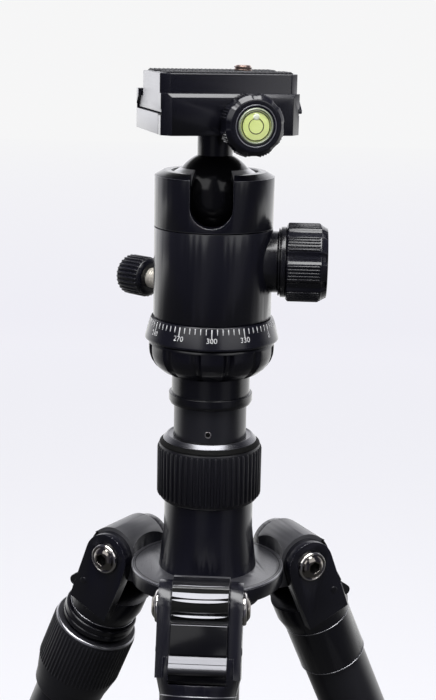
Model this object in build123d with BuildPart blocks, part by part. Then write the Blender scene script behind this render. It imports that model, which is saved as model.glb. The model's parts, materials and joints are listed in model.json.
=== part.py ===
from build123d import *
import os
from math import acos, cos, degrees, radians, sin, sqrt, tan

# A travel tripod with a ball head and a dovetail quick-release clamp, standing on three
# splayed legs. Millimetres, +Z up. The origin is on the column's axis at the floor, the
# front leg points along -Y, and the head's main knob along +X.
os.makedirs("parts", exist_ok=True)

# ---------------------------------------------------------------- clearances
running_fit = 0.05  # radial, for what turns or slides
seat_gap = 0.02  # between pieces that are pressed or screwed together
face_gap = 0.3  # between faces that pass each other

# ---------------------------------------------------------------- legs
# Each leg is drawn about its own axis: "down" is the distance from the hinge pin down the
# leg, "out" the distance outwards from the leg's axis.
leg_azimuths = {"front": -90.0, "right": 30.0, "left": 150.0}
leg_tilt = 24.0
hinge_radius = 36.5
hinge_drop = 2.2  # the hinge pin below the disc's top
leg_reach = 368.0  # hinge pin to the edge of the rubber foot's tread
foot_length = 10.0
foot_radius = 10.6

upper_tube_radius = 12.5
upper_tube_wall = 1.2
middle_tube_wall = 1.1
tube_step = 1.5  # each inner tube starts this much further down
lock_length = 26.0
lock_gap = 1.0  # between a retracted lock and what is above it
lock_wall = 2.9
lock_flat_count = 14

cheek_radius = 9.3
cheek_out = 8.0
cheek_in = 10.0
cheek_inner = 9.9
cheek_outer = 14.6
socket_start = 17.0
socket_cone_start = 24.0
socket_rim = 29.5
socket_end = 49.5
socket_radius = 13.2
socket_chamfer = 2.2

bolt_radius = 5.75
bolt_head_height = 2.7

latch_width = 19.6
latch_top = 6.0
latch_face_out = 10.3
latch_face_rise = 1.0
latch_lip_start = 16.0
latch_lip_rise = 1.7
latch_lip_out = 14.5
latch_lip_tip = 22.0
latch_end = 25.0
latch_pin_down = 14.5
latch_pin_out = 5.0
latch_barrel_radius = 3.0
latch_ledge = 26.0
pawl_start = 30.0  # degrees about the hinge pin, from the leg's axis

monopod_leg = "left"
monopod_ring_start = 31.0
monopod_ring_end = 36.0
monopod_ring_radius = 14.5
monopod_grip_start = 37.3
monopod_grip_end = 72.0
monopod_grip_radius = 16.8
monopod_grip_taper = 12.0
monopod_rib_count = 24
grip_rib_depth = 0.6
foot_tread = 5.0  # width of the foot's coned tread

# ---------------------------------------------------------------- spider
disc_radius = 28.25
disc_thickness = 5.5
disc_chamfer = 0.8
hub_radius = 10.8
hub_half_width = 9.8
hub_wall_radius = 28.5  # hollow end wall of each hub, about the column
stop_notch_width = 2.4
stop_notch_depth = 1.1
stop_notch_angles = (0.0, 40.0, 80.0)
boss_radius = 20.0
boss_depth = 12.0
web_depth = 11.0
neck_radius = 16.3
neck_foot_radius = 18.0
neck_foot_height = 15.0
neck_height = 45.0

# ---------------------------------------------------------------- column
column_radius = 13.15
column_wall = 1.4
column_drop = 150.0  # below the disc's top
grip_bottom = 26.2
grip_top = 47.0
grip_radius = 19.05
grip_round_height = 4.6
grip_round_depth = 1.9
grip_rib_count = 32
collar_bevel_bottom = 48.8
collar_bevel_top = 50.6
collar_ring_radius = 17.85
collar_ring_top_radius = 15.2
stop_ring_bottom = 62.2
stop_ring_top = 66.1
stop_ring_radius = 15.1
sleeve_radius = 14.1
plug_height = 4.0

# ---------------------------------------------------------------- head (heights above the disc's top)
platform_bottom = 73.0
platform_top = 85.8
platform_radius = 22.5
platform_bottom_radius = 15.8
platform_land = 5.2
platform_lip = 1.0
platform_scallop_count = 10
scallop_radius = 8.0
scallop_depth = 1.5
degree_ring_top = 93.9
degree_ring_bottom_radius = 23.9
degree_ring_top_radius = 21.8
spindle_radius = 8.0
spindle_height = 5.0

barrel_radius = 21.0
barrel_seam = 125.8
seam_groove = 0.5
cap_shoulder = 143.9
cap_top = 145.6
cap_top_radius = 18.0
notch_half_width = 7.4
notch_bottom = 127.7
pocket_radius = 8.7  # clears the ball's underside when it turns
pocket_depth = 2.8
ball_radius = 14.5
ball_centre = 137.8
ball_flat = 10.0  # the ball's flat underside, below its centre
cavity_radius = 15.2
retainer_bottom = 141.0
retainer_rise = 0.4

knob_height = 113.9
knob_radius = 14.0
knob_length = 14.5
knob_bevel_length = 2.6
knob_bevel_taper = 35.0
knob_lobe_count = 8
knob_recess_width = 5.3
knob_recess_depth = 0.45
knob_screw_radius = 4.0
knob_boss_radius = 9.7
knob_boss_height = 2.0  # beyond the barrel
friction_ring_radius = 12.5
friction_ring_width = 2.5
screw_depth = 8.0  # how far the knobs' screws reach into the barrel

pan_azimuth = 140.0
pan_height = 103.4
pan_knob_radius = 7.4
pan_screw_reach = 9.7  # bare screw between the barrel and the knob
pan_knob_length = 12.5
pan_knob_bevel = 1.2
pan_knob_rib_count = 24
pan_knob_rib_depth = 0.5
pan_screw_radius = 3.7

# ---------------------------------------------------------------- clamp and plate
# Drawn in the clamp's own directions: "along" the groove and "across" it, where the knob's
# side is negative. The clamp stands turned on the ball's stem.
clamp_turn = 18.0
stem_radius = 6.2
clamp_bottom = 159.2
clamp_top = 172.9
clamp_length = 48.0
clamp_half_width = 22.0
clamp_corner = 3.1
clamp_edge = 1.2
jaw_thickness = 6.4
channel_floor = 166.0
dovetail_half_width = 19.0
dovetail_land = 1.2
dovetail_neck_half_width = 16.0
plate_bottom = 166.3
slab_top = 179.2
plate_length = 48.0
plate_shift = 1.0
pad_thickness = 0.8
pad_margin = 2.0
plate_corner = 3.0

clamp_knob_along = 5.5
clamp_knob_radius = 10.65
clamp_knob_depth = 8.0
clamp_knob_bevel = 1.0
clamp_knob_recess_width = 4.0
clamp_screw_radius = 2.5
clamp_screw_cover = 0.5  # between the screw and the channel's floor
clamp_screw_depth = 12.0
vial_radius = 6.0
vial_depth = 4.0
vial_rise = 0.3

camera_screw_radius = 3.175  # 1/4 inch thread
camera_screw_shank_radius = 2.4
camera_screw_along = 8.4
camera_screw_top = 181.8
camera_screw_head_radius = 7.0
camera_screw_head = 2.4

# ---------------------------------------------------------------- worked-out places
hinge_height = leg_reach * cos(radians(leg_tilt)) + foot_radius * sin(radians(leg_tilt))
disc_top = hinge_height + hinge_drop
column_bore = column_radius + running_fit
column_bottom = disc_top - column_drop
sleeve_top = disc_top + platform_bottom
ball_z = disc_top + ball_centre
neck_flat = sqrt(ball_radius**2 - stem_radius**2)
knob_boss_end = barrel_radius + knob_boss_height
friction_ring_start = knob_boss_end + face_gap
knob_start = friction_ring_start + friction_ring_width
knob_end = knob_start + knob_length
knob_bevel_start = knob_end - knob_bevel_length
pan_knob_start = barrel_radius + pan_screw_reach
clamp_knob_height = channel_floor - clamp_screw_cover - clamp_screw_radius
jaw_across = -clamp_half_width + jaw_thickness
upper_bore = upper_tube_radius - upper_tube_wall
middle_bore = upper_bore - running_fit - middle_tube_wall
middle_start = socket_end + tube_step
lower_start = middle_start + tube_step
foot_top = leg_reach - foot_length
middle_tube_end = foot_top - lock_length - lock_gap
upper_tube_end = middle_tube_end - lock_length - lock_gap
dovetail_top = plate_bottom + dovetail_land + dovetail_half_width - dovetail_neck_half_width


def leg_frames(azimuth):
    """Planes of one leg: (down, out) through its axis, its cross-section, and level at the pin."""
    outward = Vector(cos(radians(azimuth)), sin(radians(azimuth)), 0)
    up = Vector(0, 0, 1)
    side = outward.cross(up)
    pin = outward * hinge_radius + up * hinge_height
    down = outward * sin(radians(leg_tilt)) - up * cos(radians(leg_tilt))
    out = outward * cos(radians(leg_tilt)) + up * sin(radians(leg_tilt))
    profile = Plane(origin=pin, x_dir=down, z_dir=side)
    section = Plane(origin=pin, x_dir=out, z_dir=down)
    level = Plane(origin=pin, x_dir=outward, z_dir=side)
    return profile, section, level


def ribbed_outline(radius, depth, ribs):
    """Corner points of a ring of vee ribs, crests on the radius."""
    corners = []
    for index in range(2 * ribs):
        reach = radius - depth * (index % 2)
        turn = radians(180 / ribs * index)
        corners.append((reach * cos(turn), reach * sin(turn)))
    return corners


# ================================================================ spider
with BuildPart() as spider:
    with BuildSketch(Plane.XZ):
        with BuildLine():
            Polyline(
                (column_bore, disc_top - boss_depth),
                (boss_radius, disc_top - boss_depth),
                (boss_radius, disc_top - disc_thickness),
                (disc_radius, disc_top - disc_thickness),
                (disc_radius, disc_top - disc_chamfer),
                (disc_radius - disc_chamfer, disc_top),
                (neck_foot_radius, disc_top),
                (neck_radius, disc_top + neck_foot_height),
                (neck_radius, disc_top + neck_height),
                (column_bore, disc_top + neck_height),
                close=True,
            )
        make_face()
    revolve(axis=Axis.Z)
    for azimuth in leg_azimuths.values():
        profile, section, level = leg_frames(azimuth)
        # A hub for the yoke to turn on, and its web back to the boss under the disc.
        with BuildSketch(level):
            Circle(hub_radius)
            with Locations((boss_radius - hinge_radius, hinge_drop)):
                Rectangle(
                    hinge_radius - boss_radius,
                    web_depth,
                    align=(Align.MIN, Align.MAX),
                )
        extrude(amount=hub_half_width, both=True)
    with BuildSketch(Plane.XY.offset(disc_top)):
        Circle(hub_wall_radius)
        Circle(neck_foot_radius, mode=Mode.SUBTRACT)
    extrude(amount=hub_radius, mode=Mode.SUBTRACT)
    for azimuth in leg_azimuths.values():
        profile, section, level = leg_frames(azimuth)
        # The stops that the pawl stands against, for each spread of the leg.
        with BuildSketch(level):
            for angle in stop_notch_angles:
                notch_at = Vector(hub_radius, 0, 0).rotate(Axis.Z, angle)
                with Locations(Location((notch_at.X, notch_at.Y, 0), (0, 0, angle))):
                    Rectangle(2 * stop_notch_depth, stop_notch_width)
        extrude(amount=hub_half_width, both=True, mode=Mode.SUBTRACT)
spider.part.label = "spider"
export_step(spider.part, "parts/spider.step")

with BuildPart() as leg_pivot_bolts:
    for azimuth in leg_azimuths.values():
        profile, section, level = leg_frames(azimuth)
        for sideways in (level.z_dir, -level.z_dir):
            hub_face = Plane(origin=level.origin, x_dir=level.x_dir, z_dir=sideways).offset(hub_half_width)
            with BuildSketch(hub_face):
                Circle(bolt_radius)
            extrude(amount=cheek_outer + bolt_head_height - hub_half_width)
leg_pivot_bolts.part.label = "leg_pivot_bolts"
export_step(leg_pivot_bolts.part, "parts/leg_pivot_bolts.step")

# ================================================================ legs
for side, azimuth in leg_azimuths.items():
    profile, section, level = leg_frames(azimuth)
    leg_axis = Axis(section.origin, section.z_dir)

    # The yoke: two cheeks over the hub, and a turned socket that holds the upper tube.
    with BuildPart() as leg_yoke:
        with BuildSketch(profile):
            with BuildLine():
                Polyline(
                    (socket_start, 0),
                    (socket_start, cheek_outer),
                    (socket_cone_start, cheek_outer),
                    (socket_rim, socket_radius),
                    (socket_end, socket_radius),
                    (socket_end, 0),
                    close=True,
                )
            make_face()
        revolve(axis=leg_axis)
        with BuildSketch(profile):
            Circle(cheek_radius)
            with Locations((socket_cone_start - cheek_radius, (cheek_out - cheek_in) / 2)):
                Rectangle(2 * cheek_radius, cheek_out + cheek_in)
            make_hull()
        extrude(amount=cheek_outer, both=True)
        # Room between the cheeks for the hub, and for the pawl down to its ledge.
        with BuildSketch(profile):
            Rectangle(2 * socket_start, 6 * hub_radius)
            Rectangle(latch_ledge, 3 * hub_radius, align=(Align.MIN, Align.MIN))
        extrude(amount=cheek_inner, both=True, mode=Mode.SUBTRACT)
        with BuildSketch(profile):
            Circle(bolt_radius + running_fit)
        extrude(amount=cheek_outer, both=True, mode=Mode.SUBTRACT)
    leg_yoke.part.label = f"{side}_leg_yoke"
    export_step(leg_yoke.part, f"parts/{side}_leg_yoke.step")

    # The spring pawl: its upper edge stands against the hub's stops, its lip is pressed.
    swing = hub_radius + 2 * face_gap
    pawl_end = degrees(acos(latch_top / swing))
    with BuildPart() as latch:
        with BuildSketch(profile):
            with BuildLine():
                inner = CenterArc((0, 0), swing, pawl_start, pawl_end - pawl_start)
                barrel = CenterArc((latch_pin_down, latch_pin_out), latch_barrel_radius, 180, 90)
                Polyline(
                    inner @ 1,
                    (latch_top, latch_face_out),
                    (latch_lip_start, latch_face_out + latch_face_rise),
                    (latch_lip_start + latch_face_rise, latch_lip_out - latch_lip_rise),
                    (latch_lip_tip, latch_lip_out),
                    (latch_end, latch_face_out),
                    (latch_end, latch_pin_out),
                    barrel @ 1,
                )
                Line(barrel @ 0, inner @ 0)
            make_face()
        extrude(amount=latch_width / 2, both=True)
    latch.part.label = f"{side}_latch"
    export_step(latch.part, f"parts/{side}_latch.step")

    # Three tubes, nested: each slides in the one above it. The lowest is plugged by its foot.
    with BuildPart() as leg_tube_upper:
        with BuildSketch(section.offset(socket_end)):
            Circle(upper_tube_radius)
            Circle(upper_bore, mode=Mode.SUBTRACT)
        extrude(amount=upper_tube_end - socket_end)
    leg_tube_upper.part.label = f"{side}_leg_tube_upper"
    export_step(leg_tube_upper.part, f"parts/{side}_leg_tube_upper.step")

    with BuildPart() as leg_tube_middle:
        with BuildSketch(section.offset(middle_start)):
            Circle(upper_bore - running_fit)
            Circle(middle_bore, mode=Mode.SUBTRACT)
        extrude(amount=middle_tube_end - middle_start)
    leg_tube_middle.part.label = f"{side}_leg_tube_middle"
    export_step(leg_tube_middle.part, f"parts/{side}_leg_tube_middle.step")

    with BuildPart() as leg_tube_lower:
        with BuildSketch(section.offset(lower_start)):
            Circle(middle_bore - running_fit)
        extrude(amount=foot_top - lower_start)
    leg_tube_lower.part.label = f"{side}_leg_tube_lower"
    export_step(leg_tube_lower.part, f"parts/{side}_leg_tube_lower.step")

    # Twist locks at the ends of the upper and middle tubes.
    with BuildPart() as lock_upper:
        with BuildSketch(section.offset(upper_tube_end)):
            RegularPolygon(upper_tube_radius + lock_wall, lock_flat_count)
            Circle(upper_bore, mode=Mode.SUBTRACT)
        extrude(amount=lock_length)
    lock_upper.part.label = f"{side}_lock_upper"
    export_step(lock_upper.part, f"parts/{side}_lock_upper.step")

    with BuildPart() as lock_lower:
        with BuildSketch(section.offset(middle_tube_end)):
            RegularPolygon(upper_bore + lock_wall, lock_flat_count)
            Circle(middle_bore, mode=Mode.SUBTRACT)
        extrude(amount=lock_length)
    lock_lower.part.label = f"{side}_lock_lower"
    export_step(lock_lower.part, f"parts/{side}_lock_lower.step")

    # The rubber foot ends in a cone whose lowest line lies flat on the floor.
    with BuildPart() as foot:
        with BuildSketch(profile):
            with BuildLine():
                Polyline(
                    (foot_top, 0),
                    (foot_top, foot_radius),
                    (leg_reach, foot_radius),
                    (leg_reach + foot_tread * tan(radians(leg_tilt)), foot_radius - foot_tread),
                    (leg_reach + foot_tread * tan(radians(leg_tilt)), 0),
                    close=True,
                )
            make_face()
        revolve(axis=leg_axis)
    foot.part.label = f"{side}_foot"
    export_step(foot.part, f"parts/{side}_foot.step")

    if side == monopod_leg:
        # This leg unscrews from the spider for use as a monopod, by its own grip.
        with BuildPart() as monopod_ring:
            with BuildSketch(section.offset(monopod_ring_start)):
                Circle(monopod_ring_radius)
                Circle(socket_radius, mode=Mode.SUBTRACT)
            extrude(amount=monopod_ring_end - monopod_ring_start)
        monopod_ring.part.label = "monopod_ring"
        export_step(monopod_ring.part, "parts/monopod_ring.step")

        taper_start = monopod_grip_end - monopod_grip_taper
        grip_outline = ribbed_outline(monopod_grip_radius, grip_rib_depth, monopod_rib_count)
        with BuildPart() as monopod_grip:
            with BuildSketch(section.offset(monopod_grip_start)):
                with BuildLine():
                    Polyline(*grip_outline, close=True)
                make_face()
            extrude(amount=taper_start - monopod_grip_start)
            with BuildSketch(section.offset(taper_start)):
                Circle(monopod_grip_radius - grip_rib_depth)
            with BuildSketch(section.offset(monopod_grip_end)):
                Circle(socket_radius + 2 * grip_rib_depth)
            loft()
            with BuildSketch(section.offset(monopod_grip_start)):
                Circle(socket_radius + running_fit)
            extrude(amount=monopod_grip_end - monopod_grip_start, mode=Mode.SUBTRACT)
        monopod_grip.part.label = "monopod_grip"
        export_step(monopod_grip.part, "parts/monopod_grip.step")

# ================================================================ column collar and column
with BuildPart() as collar_grip:
    with BuildSketch(Plane.XY.offset(disc_top + grip_bottom + grip_round_height)):
        with BuildLine():
            Polyline(*ribbed_outline(grip_radius, grip_rib_depth, grip_rib_count), close=True)
        make_face()
    extrude(amount=grip_top - grip_bottom - grip_round_height)
    with BuildSketch(Plane.XZ):
        with BuildLine():
            Polyline(
                (0, disc_top + grip_bottom),
                (grip_radius - grip_round_depth, disc_top + grip_bottom),
                (grip_radius - grip_rib_depth, disc_top + grip_bottom + grip_round_height),
                (0, disc_top + grip_bottom + grip_round_height),
                close=True,
            )
        make_face()
    revolve(axis=Axis.Z)
    with BuildSketch(Plane.XY.offset(disc_top + grip_bottom)):
        Circle(neck_radius + running_fit)
    extrude(amount=grip_top - grip_bottom, mode=Mode.SUBTRACT)
collar_grip.part.label = "collar_grip"
export_step(collar_grip.part, "parts/collar_grip.step")

with BuildPart() as collar_ring:
    with BuildSketch(Plane.XZ):
        with BuildLine():
            Polyline(
                (column_bore, disc_top + grip_top),
                (collar_ring_radius, disc_top + grip_top),
                (collar_ring_radius, disc_top + collar_bevel_bottom),
                (collar_ring_top_radius, disc_top + collar_bevel_top),
                (column_bore, disc_top + collar_bevel_top),
                close=True,
            )
        make_face()
    revolve(axis=Axis.Z)
collar_ring.part.label = "collar_ring"
export_step(collar_ring.part, "parts/collar_ring.step")

with BuildPart() as column_tube:
    with BuildSketch(Plane.XY.offset(column_bottom)):
        Circle(column_radius)
        Circle(column_radius - column_wall, mode=Mode.SUBTRACT)
    extrude(amount=sleeve_top - column_bottom)
column_tube.part.label = "column_tube"
export_step(column_tube.part, "parts/column_tube.step")

with BuildPart() as column_sleeve:
    with BuildSketch(Plane.XZ):
        with BuildLine():
            Polyline(
                (column_radius, disc_top + stop_ring_bottom),
                (stop_ring_radius, disc_top + stop_ring_bottom),
                (stop_ring_radius, disc_top + stop_ring_top),
                (sleeve_radius, disc_top + stop_ring_top),
                (sleeve_radius, sleeve_top),
                (column_radius, sleeve_top),
                close=True,
            )
        make_face()
    revolve(axis=Axis.Z)
column_sleeve.part.label = "column_sleeve"
export_step(column_sleeve.part, "parts/column_sleeve.step")

with BuildPart() as column_plug:
    with BuildSketch(Plane.XY.offset(column_bottom)):
        Circle(column_radius)
    extrude(amount=-plug_height)
column_plug.part.label = "column_plug"
export_step(column_plug.part, "parts/column_plug.step")

with BuildPart() as top_platform:
    with BuildSketch(Plane.XZ):
        with BuildLine():
            Polyline(
                (0, sleeve_top),
                (platform_bottom_radius, sleeve_top),
                (platform_radius, disc_top + platform_top - platform_land),
                (platform_radius, disc_top + platform_top),
                (0, disc_top + platform_top),
                close=True,
            )
        make_face()
    revolve(axis=Axis.Z)
    scallop_ring = platform_radius + scallop_radius - scallop_depth
    with BuildSketch(Plane.XY.offset(sleeve_top)):
        with PolarLocations(scallop_ring, platform_scallop_count, start_angle=-90):
            Circle(scallop_radius)
    extrude(amount=platform_top - platform_bottom - platform_lip, mode=Mode.SUBTRACT)
top_platform.part.label = "top_platform"
export_step(top_platform.part, "parts/top_platform.step")

with BuildPart() as pan_base:
    with BuildSketch(Plane.XZ):
        with BuildLine():
            Polyline(
                (0, disc_top + platform_top),
                (degree_ring_bottom_radius, disc_top + platform_top),
                (degree_ring_top_radius, disc_top + degree_ring_top),
                (spindle_radius, disc_top + degree_ring_top),
                (spindle_radius, disc_top + degree_ring_top + spindle_height),
                (0, disc_top + degree_ring_top + spindle_height),
                close=True,
            )
        make_face()
    revolve(axis=Axis.Z)
pan_base.part.label = "pan_base"
export_step(pan_base.part, "parts/pan_base.step")

# ================================================================ head
main_axis = Plane(origin=(0, 0, disc_top + knob_height), x_dir=(0, 1, 0), z_dir=(1, 0, 0))
pan_axis = Plane(
    origin=(0, 0, disc_top + pan_height),
    x_dir=(0, 0, 1),
    z_dir=(cos(radians(pan_azimuth)), sin(radians(pan_azimuth)), 0),
)

with BuildPart() as head_barrel:
    with BuildSketch(Plane.XY.offset(disc_top + degree_ring_top + face_gap)):
        Circle(barrel_radius)
    extrude(amount=barrel_seam - degree_ring_top - face_gap)
    with BuildSketch(main_axis):
        Circle(knob_boss_radius)
    extrude(amount=knob_boss_end)
    with BuildSketch(Plane.XY.offset(disc_top + barrel_seam - pocket_depth)):
        Circle(pocket_radius)
    extrude(amount=pocket_depth, mode=Mode.SUBTRACT)
    with BuildSketch(Plane.XY.offset(disc_top + degree_ring_top)):
        Circle(spindle_radius + running_fit)
    extrude(amount=spindle_height + face_gap, mode=Mode.SUBTRACT)
    with BuildSketch(main_axis.offset(barrel_radius - screw_depth)):
        Circle(knob_screw_radius + running_fit)
    extrude(amount=knob_boss_end, mode=Mode.SUBTRACT)
    with BuildSketch(pan_axis.offset(barrel_radius - screw_depth)):
        Circle(pan_screw_radius + running_fit)
    extrude(amount=barrel_radius, mode=Mode.SUBTRACT)
head_barrel.part.label = "head_barrel"
export_step(head_barrel.part, "parts/head_barrel.step")


def notch_outline():
    """The drop notch, round at its foot and open at the cap's top."""
    with BuildSketch(Plane.XZ) as notch:
        with Locations((0, disc_top + notch_bottom + notch_half_width)):
            Circle(notch_half_width)
            Rectangle(2 * notch_half_width, barrel_radius, align=(Align.CENTER, Align.MIN))
    return notch.sketch


with BuildPart() as head_cap:
    with BuildSketch(Plane.XZ):
        with BuildLine():
            Polyline(
                (cavity_radius, disc_top + barrel_seam),
                (barrel_radius - seam_groove, disc_top + barrel_seam),
                (barrel_radius, disc_top + barrel_seam + seam_groove),
                (barrel_radius, disc_top + cap_shoulder),
                (cap_top_radius, disc_top + cap_top),
                (cavity_radius, disc_top + cap_top),
                close=True,
            )
        make_face()
    revolve(axis=Axis.Z)
    extrude(notch_outline(), amount=barrel_radius + cavity_radius, mode=Mode.SUBTRACT)
head_cap.part.label = "head_cap"
export_step(head_cap.part, "parts/head_cap.step")

with BuildPart() as ball_retainer:
    with BuildSketch(Plane.XY.offset(disc_top + retainer_bottom)):
        Circle(cavity_radius)
    extrude(amount=cap_top + retainer_rise - retainer_bottom)
    with Locations((0, 0, ball_z)):
        Sphere(ball_radius + running_fit, mode=Mode.SUBTRACT)
    extrude(notch_outline(), amount=barrel_radius, mode=Mode.SUBTRACT)
ball_retainer.part.label = "ball_retainer"
export_step(ball_retainer.part, "parts/ball_retainer.step")

with BuildPart() as ball:
    with Locations((0, 0, ball_z)):
        Sphere(ball_radius)
    split(bisect_by=Plane.XY.offset(ball_z + neck_flat), keep=Keep.BOTTOM)
    split(bisect_by=Plane.XY.offset(ball_z - ball_flat), keep=Keep.TOP)
ball.part.label = "ball"
export_step(ball.part, "parts/ball.step")

with BuildPart() as main_knob:
    with BuildSketch(main_axis.offset(knob_start)):
        Circle(knob_radius)
        with PolarLocations(knob_radius, knob_lobe_count, start_angle=180 / knob_lobe_count):
            Rectangle(2 * knob_recess_depth, knob_recess_width, mode=Mode.SUBTRACT)
    extrude(amount=knob_bevel_start - knob_start)
    with BuildSketch(main_axis.offset(knob_bevel_start)):
        Circle(knob_radius - 2 * knob_recess_depth)
    extrude(amount=knob_end - knob_bevel_start, taper=knob_bevel_taper)
main_knob.part.label = "main_knob"
export_step(main_knob.part, "parts/main_knob.step")

with BuildPart() as friction_ring:
    with BuildSketch(main_axis.offset(friction_ring_start)):
        Circle(friction_ring_radius)
    extrude(amount=knob_start - friction_ring_start)
friction_ring.part.label = "friction_ring"
export_step(friction_ring.part, "parts/friction_ring.step")

with BuildPart() as main_knob_screw:
    with BuildSketch(main_axis.offset(barrel_radius - screw_depth + face_gap)):
        Circle(knob_screw_radius)
    extrude(amount=friction_ring_start - barrel_radius + screw_depth - face_gap)
main_knob_screw.part.label = "main_knob_screw"
export_step(main_knob_screw.part, "parts/main_knob_screw.step")

with BuildPart() as pan_knob:
    with BuildSketch(pan_axis.offset(pan_knob_start)):
        with BuildLine():
            Polyline(*ribbed_outline(pan_knob_radius, pan_knob_rib_depth, pan_knob_rib_count), close=True)
        make_face()
    extrude(amount=pan_knob_length - pan_knob_bevel)
    with BuildSketch(pan_axis.offset(pan_knob_start + pan_knob_length - pan_knob_bevel)):
        Circle(pan_knob_radius - pan_knob_rib_depth)
    extrude(amount=pan_knob_bevel, taper=knob_bevel_taper)
pan_knob.part.label = "pan_knob"
export_step(pan_knob.part, "parts/pan_knob.step")

with BuildPart() as pan_screw:
    with BuildSketch(pan_axis.offset(barrel_radius - screw_depth + face_gap)):
        Circle(pan_screw_radius)
    extrude(amount=pan_knob_start - barrel_radius + screw_depth - face_gap)
pan_screw.part.label = "pan_screw"
export_step(pan_screw.part, "parts/pan_screw.step")

# ================================================================ clamp
along = Vector(cos(radians(clamp_turn)), sin(radians(clamp_turn)), 0)
across = Vector(-sin(radians(clamp_turn)), cos(radians(clamp_turn)), 0)
clamp_origin = Vector(0, 0, disc_top)
# (across, height) looking along the groove, (along, across) from above, and from the knob.
clamp_section = Plane(origin=clamp_origin, x_dir=across, z_dir=along)
clamp_plan = Plane(origin=clamp_origin, x_dir=along, z_dir=(0, 0, 1))
clamp_front = Plane(
    origin=clamp_origin + along * clamp_knob_along + Vector(0, 0, clamp_knob_height),
    x_dir=along,
    z_dir=-across,
)
knob_back = clamp_front.offset(clamp_half_width + face_gap)

with BuildPart() as neck_stem:
    with BuildSketch(Plane.XY.offset(ball_z + neck_flat)):
        Circle(stem_radius)
    extrude(amount=clamp_bottom - ball_centre - neck_flat)
neck_stem.part.label = "neck_stem"
export_step(neck_stem.part, "parts/neck_stem.step")

with BuildPart() as clamp_base:
    with BuildSketch(clamp_section):
        with BuildLine():
            Polyline(
                (jaw_across + face_gap, clamp_bottom),
                (clamp_half_width, clamp_bottom),
                (clamp_half_width, clamp_top - clamp_edge),
                (clamp_half_width - clamp_edge, clamp_top),
                (dovetail_neck_half_width + running_fit, clamp_top),
                (dovetail_neck_half_width + running_fit, dovetail_top),
                (dovetail_half_width + running_fit, plate_bottom + dovetail_land),
                (dovetail_half_width + running_fit, channel_floor),
                (jaw_across + face_gap, channel_floor),
                close=True,
            )
        make_face()
    extrude(amount=clamp_length / 2, both=True)
    with BuildSketch(clamp_plan.offset(clamp_bottom)):
        with Locations((-clamp_length / 2, clamp_half_width), (clamp_length / 2, clamp_half_width)):
            Rectangle(clamp_corner * sqrt(2), clamp_corner * sqrt(2), rotation=45)
    extrude(amount=clamp_top - clamp_bottom, mode=Mode.SUBTRACT)
    with BuildSketch(clamp_front.offset(-jaw_across - clamp_screw_depth)):
        Circle(clamp_screw_radius + running_fit)
    extrude(amount=clamp_screw_depth, mode=Mode.SUBTRACT)
clamp_base.part.label = "clamp_base"
export_step(clamp_base.part, "parts/clamp_base.step")

with BuildPart() as clamp_jaw:
    with BuildSketch(clamp_section):
        with BuildLine():
            Polyline(
                (-clamp_half_width, clamp_bottom),
                (jaw_across, clamp_bottom),
                (jaw_across, channel_floor - face_gap),
                (-dovetail_half_width - running_fit, channel_floor - face_gap),
                (-dovetail_half_width - running_fit, plate_bottom + dovetail_land),
                (-dovetail_neck_half_width - running_fit, dovetail_top),
                (-dovetail_neck_half_width - running_fit, clamp_top),
                (-clamp_half_width + clamp_edge, clamp_top),
                (-clamp_half_width, clamp_top - clamp_edge),
                close=True,
            )
        make_face()
    extrude(amount=clamp_length / 2, both=True)
    with BuildSketch(clamp_plan.offset(clamp_bottom)):
        with Locations((-clamp_length / 2, -clamp_half_width), (clamp_length / 2, -clamp_half_width)):
            Rectangle(clamp_corner * sqrt(2), clamp_corner * sqrt(2), rotation=45)
    extrude(amount=clamp_top - clamp_bottom, mode=Mode.SUBTRACT)
    with BuildSketch(clamp_front):
        Circle(clamp_screw_radius + running_fit)
    extrude(amount=2 * clamp_half_width, mode=Mode.SUBTRACT)
clamp_jaw.part.label = "clamp_jaw"
export_step(clamp_jaw.part, "parts/clamp_jaw.step")

with BuildPart() as clamp_knob:
    with BuildSketch(knob_back):
        Circle(clamp_knob_radius)
        with PolarLocations(clamp_knob_radius, knob_lobe_count):
            Rectangle(2 * knob_recess_depth, clamp_knob_recess_width, mode=Mode.SUBTRACT)
    extrude(amount=clamp_knob_depth - clamp_knob_bevel)
    with BuildSketch(knob_back.offset(clamp_knob_depth - clamp_knob_bevel)):
        Circle(clamp_knob_radius - 2 * knob_recess_depth)
    extrude(amount=clamp_knob_bevel, taper=knob_bevel_taper)
    with BuildSketch(knob_back.offset(clamp_knob_depth - vial_depth)):
        Circle(vial_radius + seat_gap)
    extrude(amount=vial_depth, mode=Mode.SUBTRACT)
clamp_knob.part.label = "clamp_knob"
export_step(clamp_knob.part, "parts/clamp_knob.step")

with BuildPart() as clamp_screw:
    with BuildSketch(knob_back):
        Circle(clamp_screw_radius)
    extrude(amount=-(jaw_thickness + clamp_screw_depth - face_gap))
clamp_screw.part.label = "clamp_screw"
export_step(clamp_screw.part, "parts/clamp_screw.step")

with BuildPart() as level_vial:
    with BuildSketch(knob_back.offset(clamp_knob_depth - vial_depth)):
        Circle(vial_radius)
    extrude(amount=vial_depth + vial_rise)
level_vial.part.label = "level_vial"
export_step(level_vial.part, "parts/level_vial.step")

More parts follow.
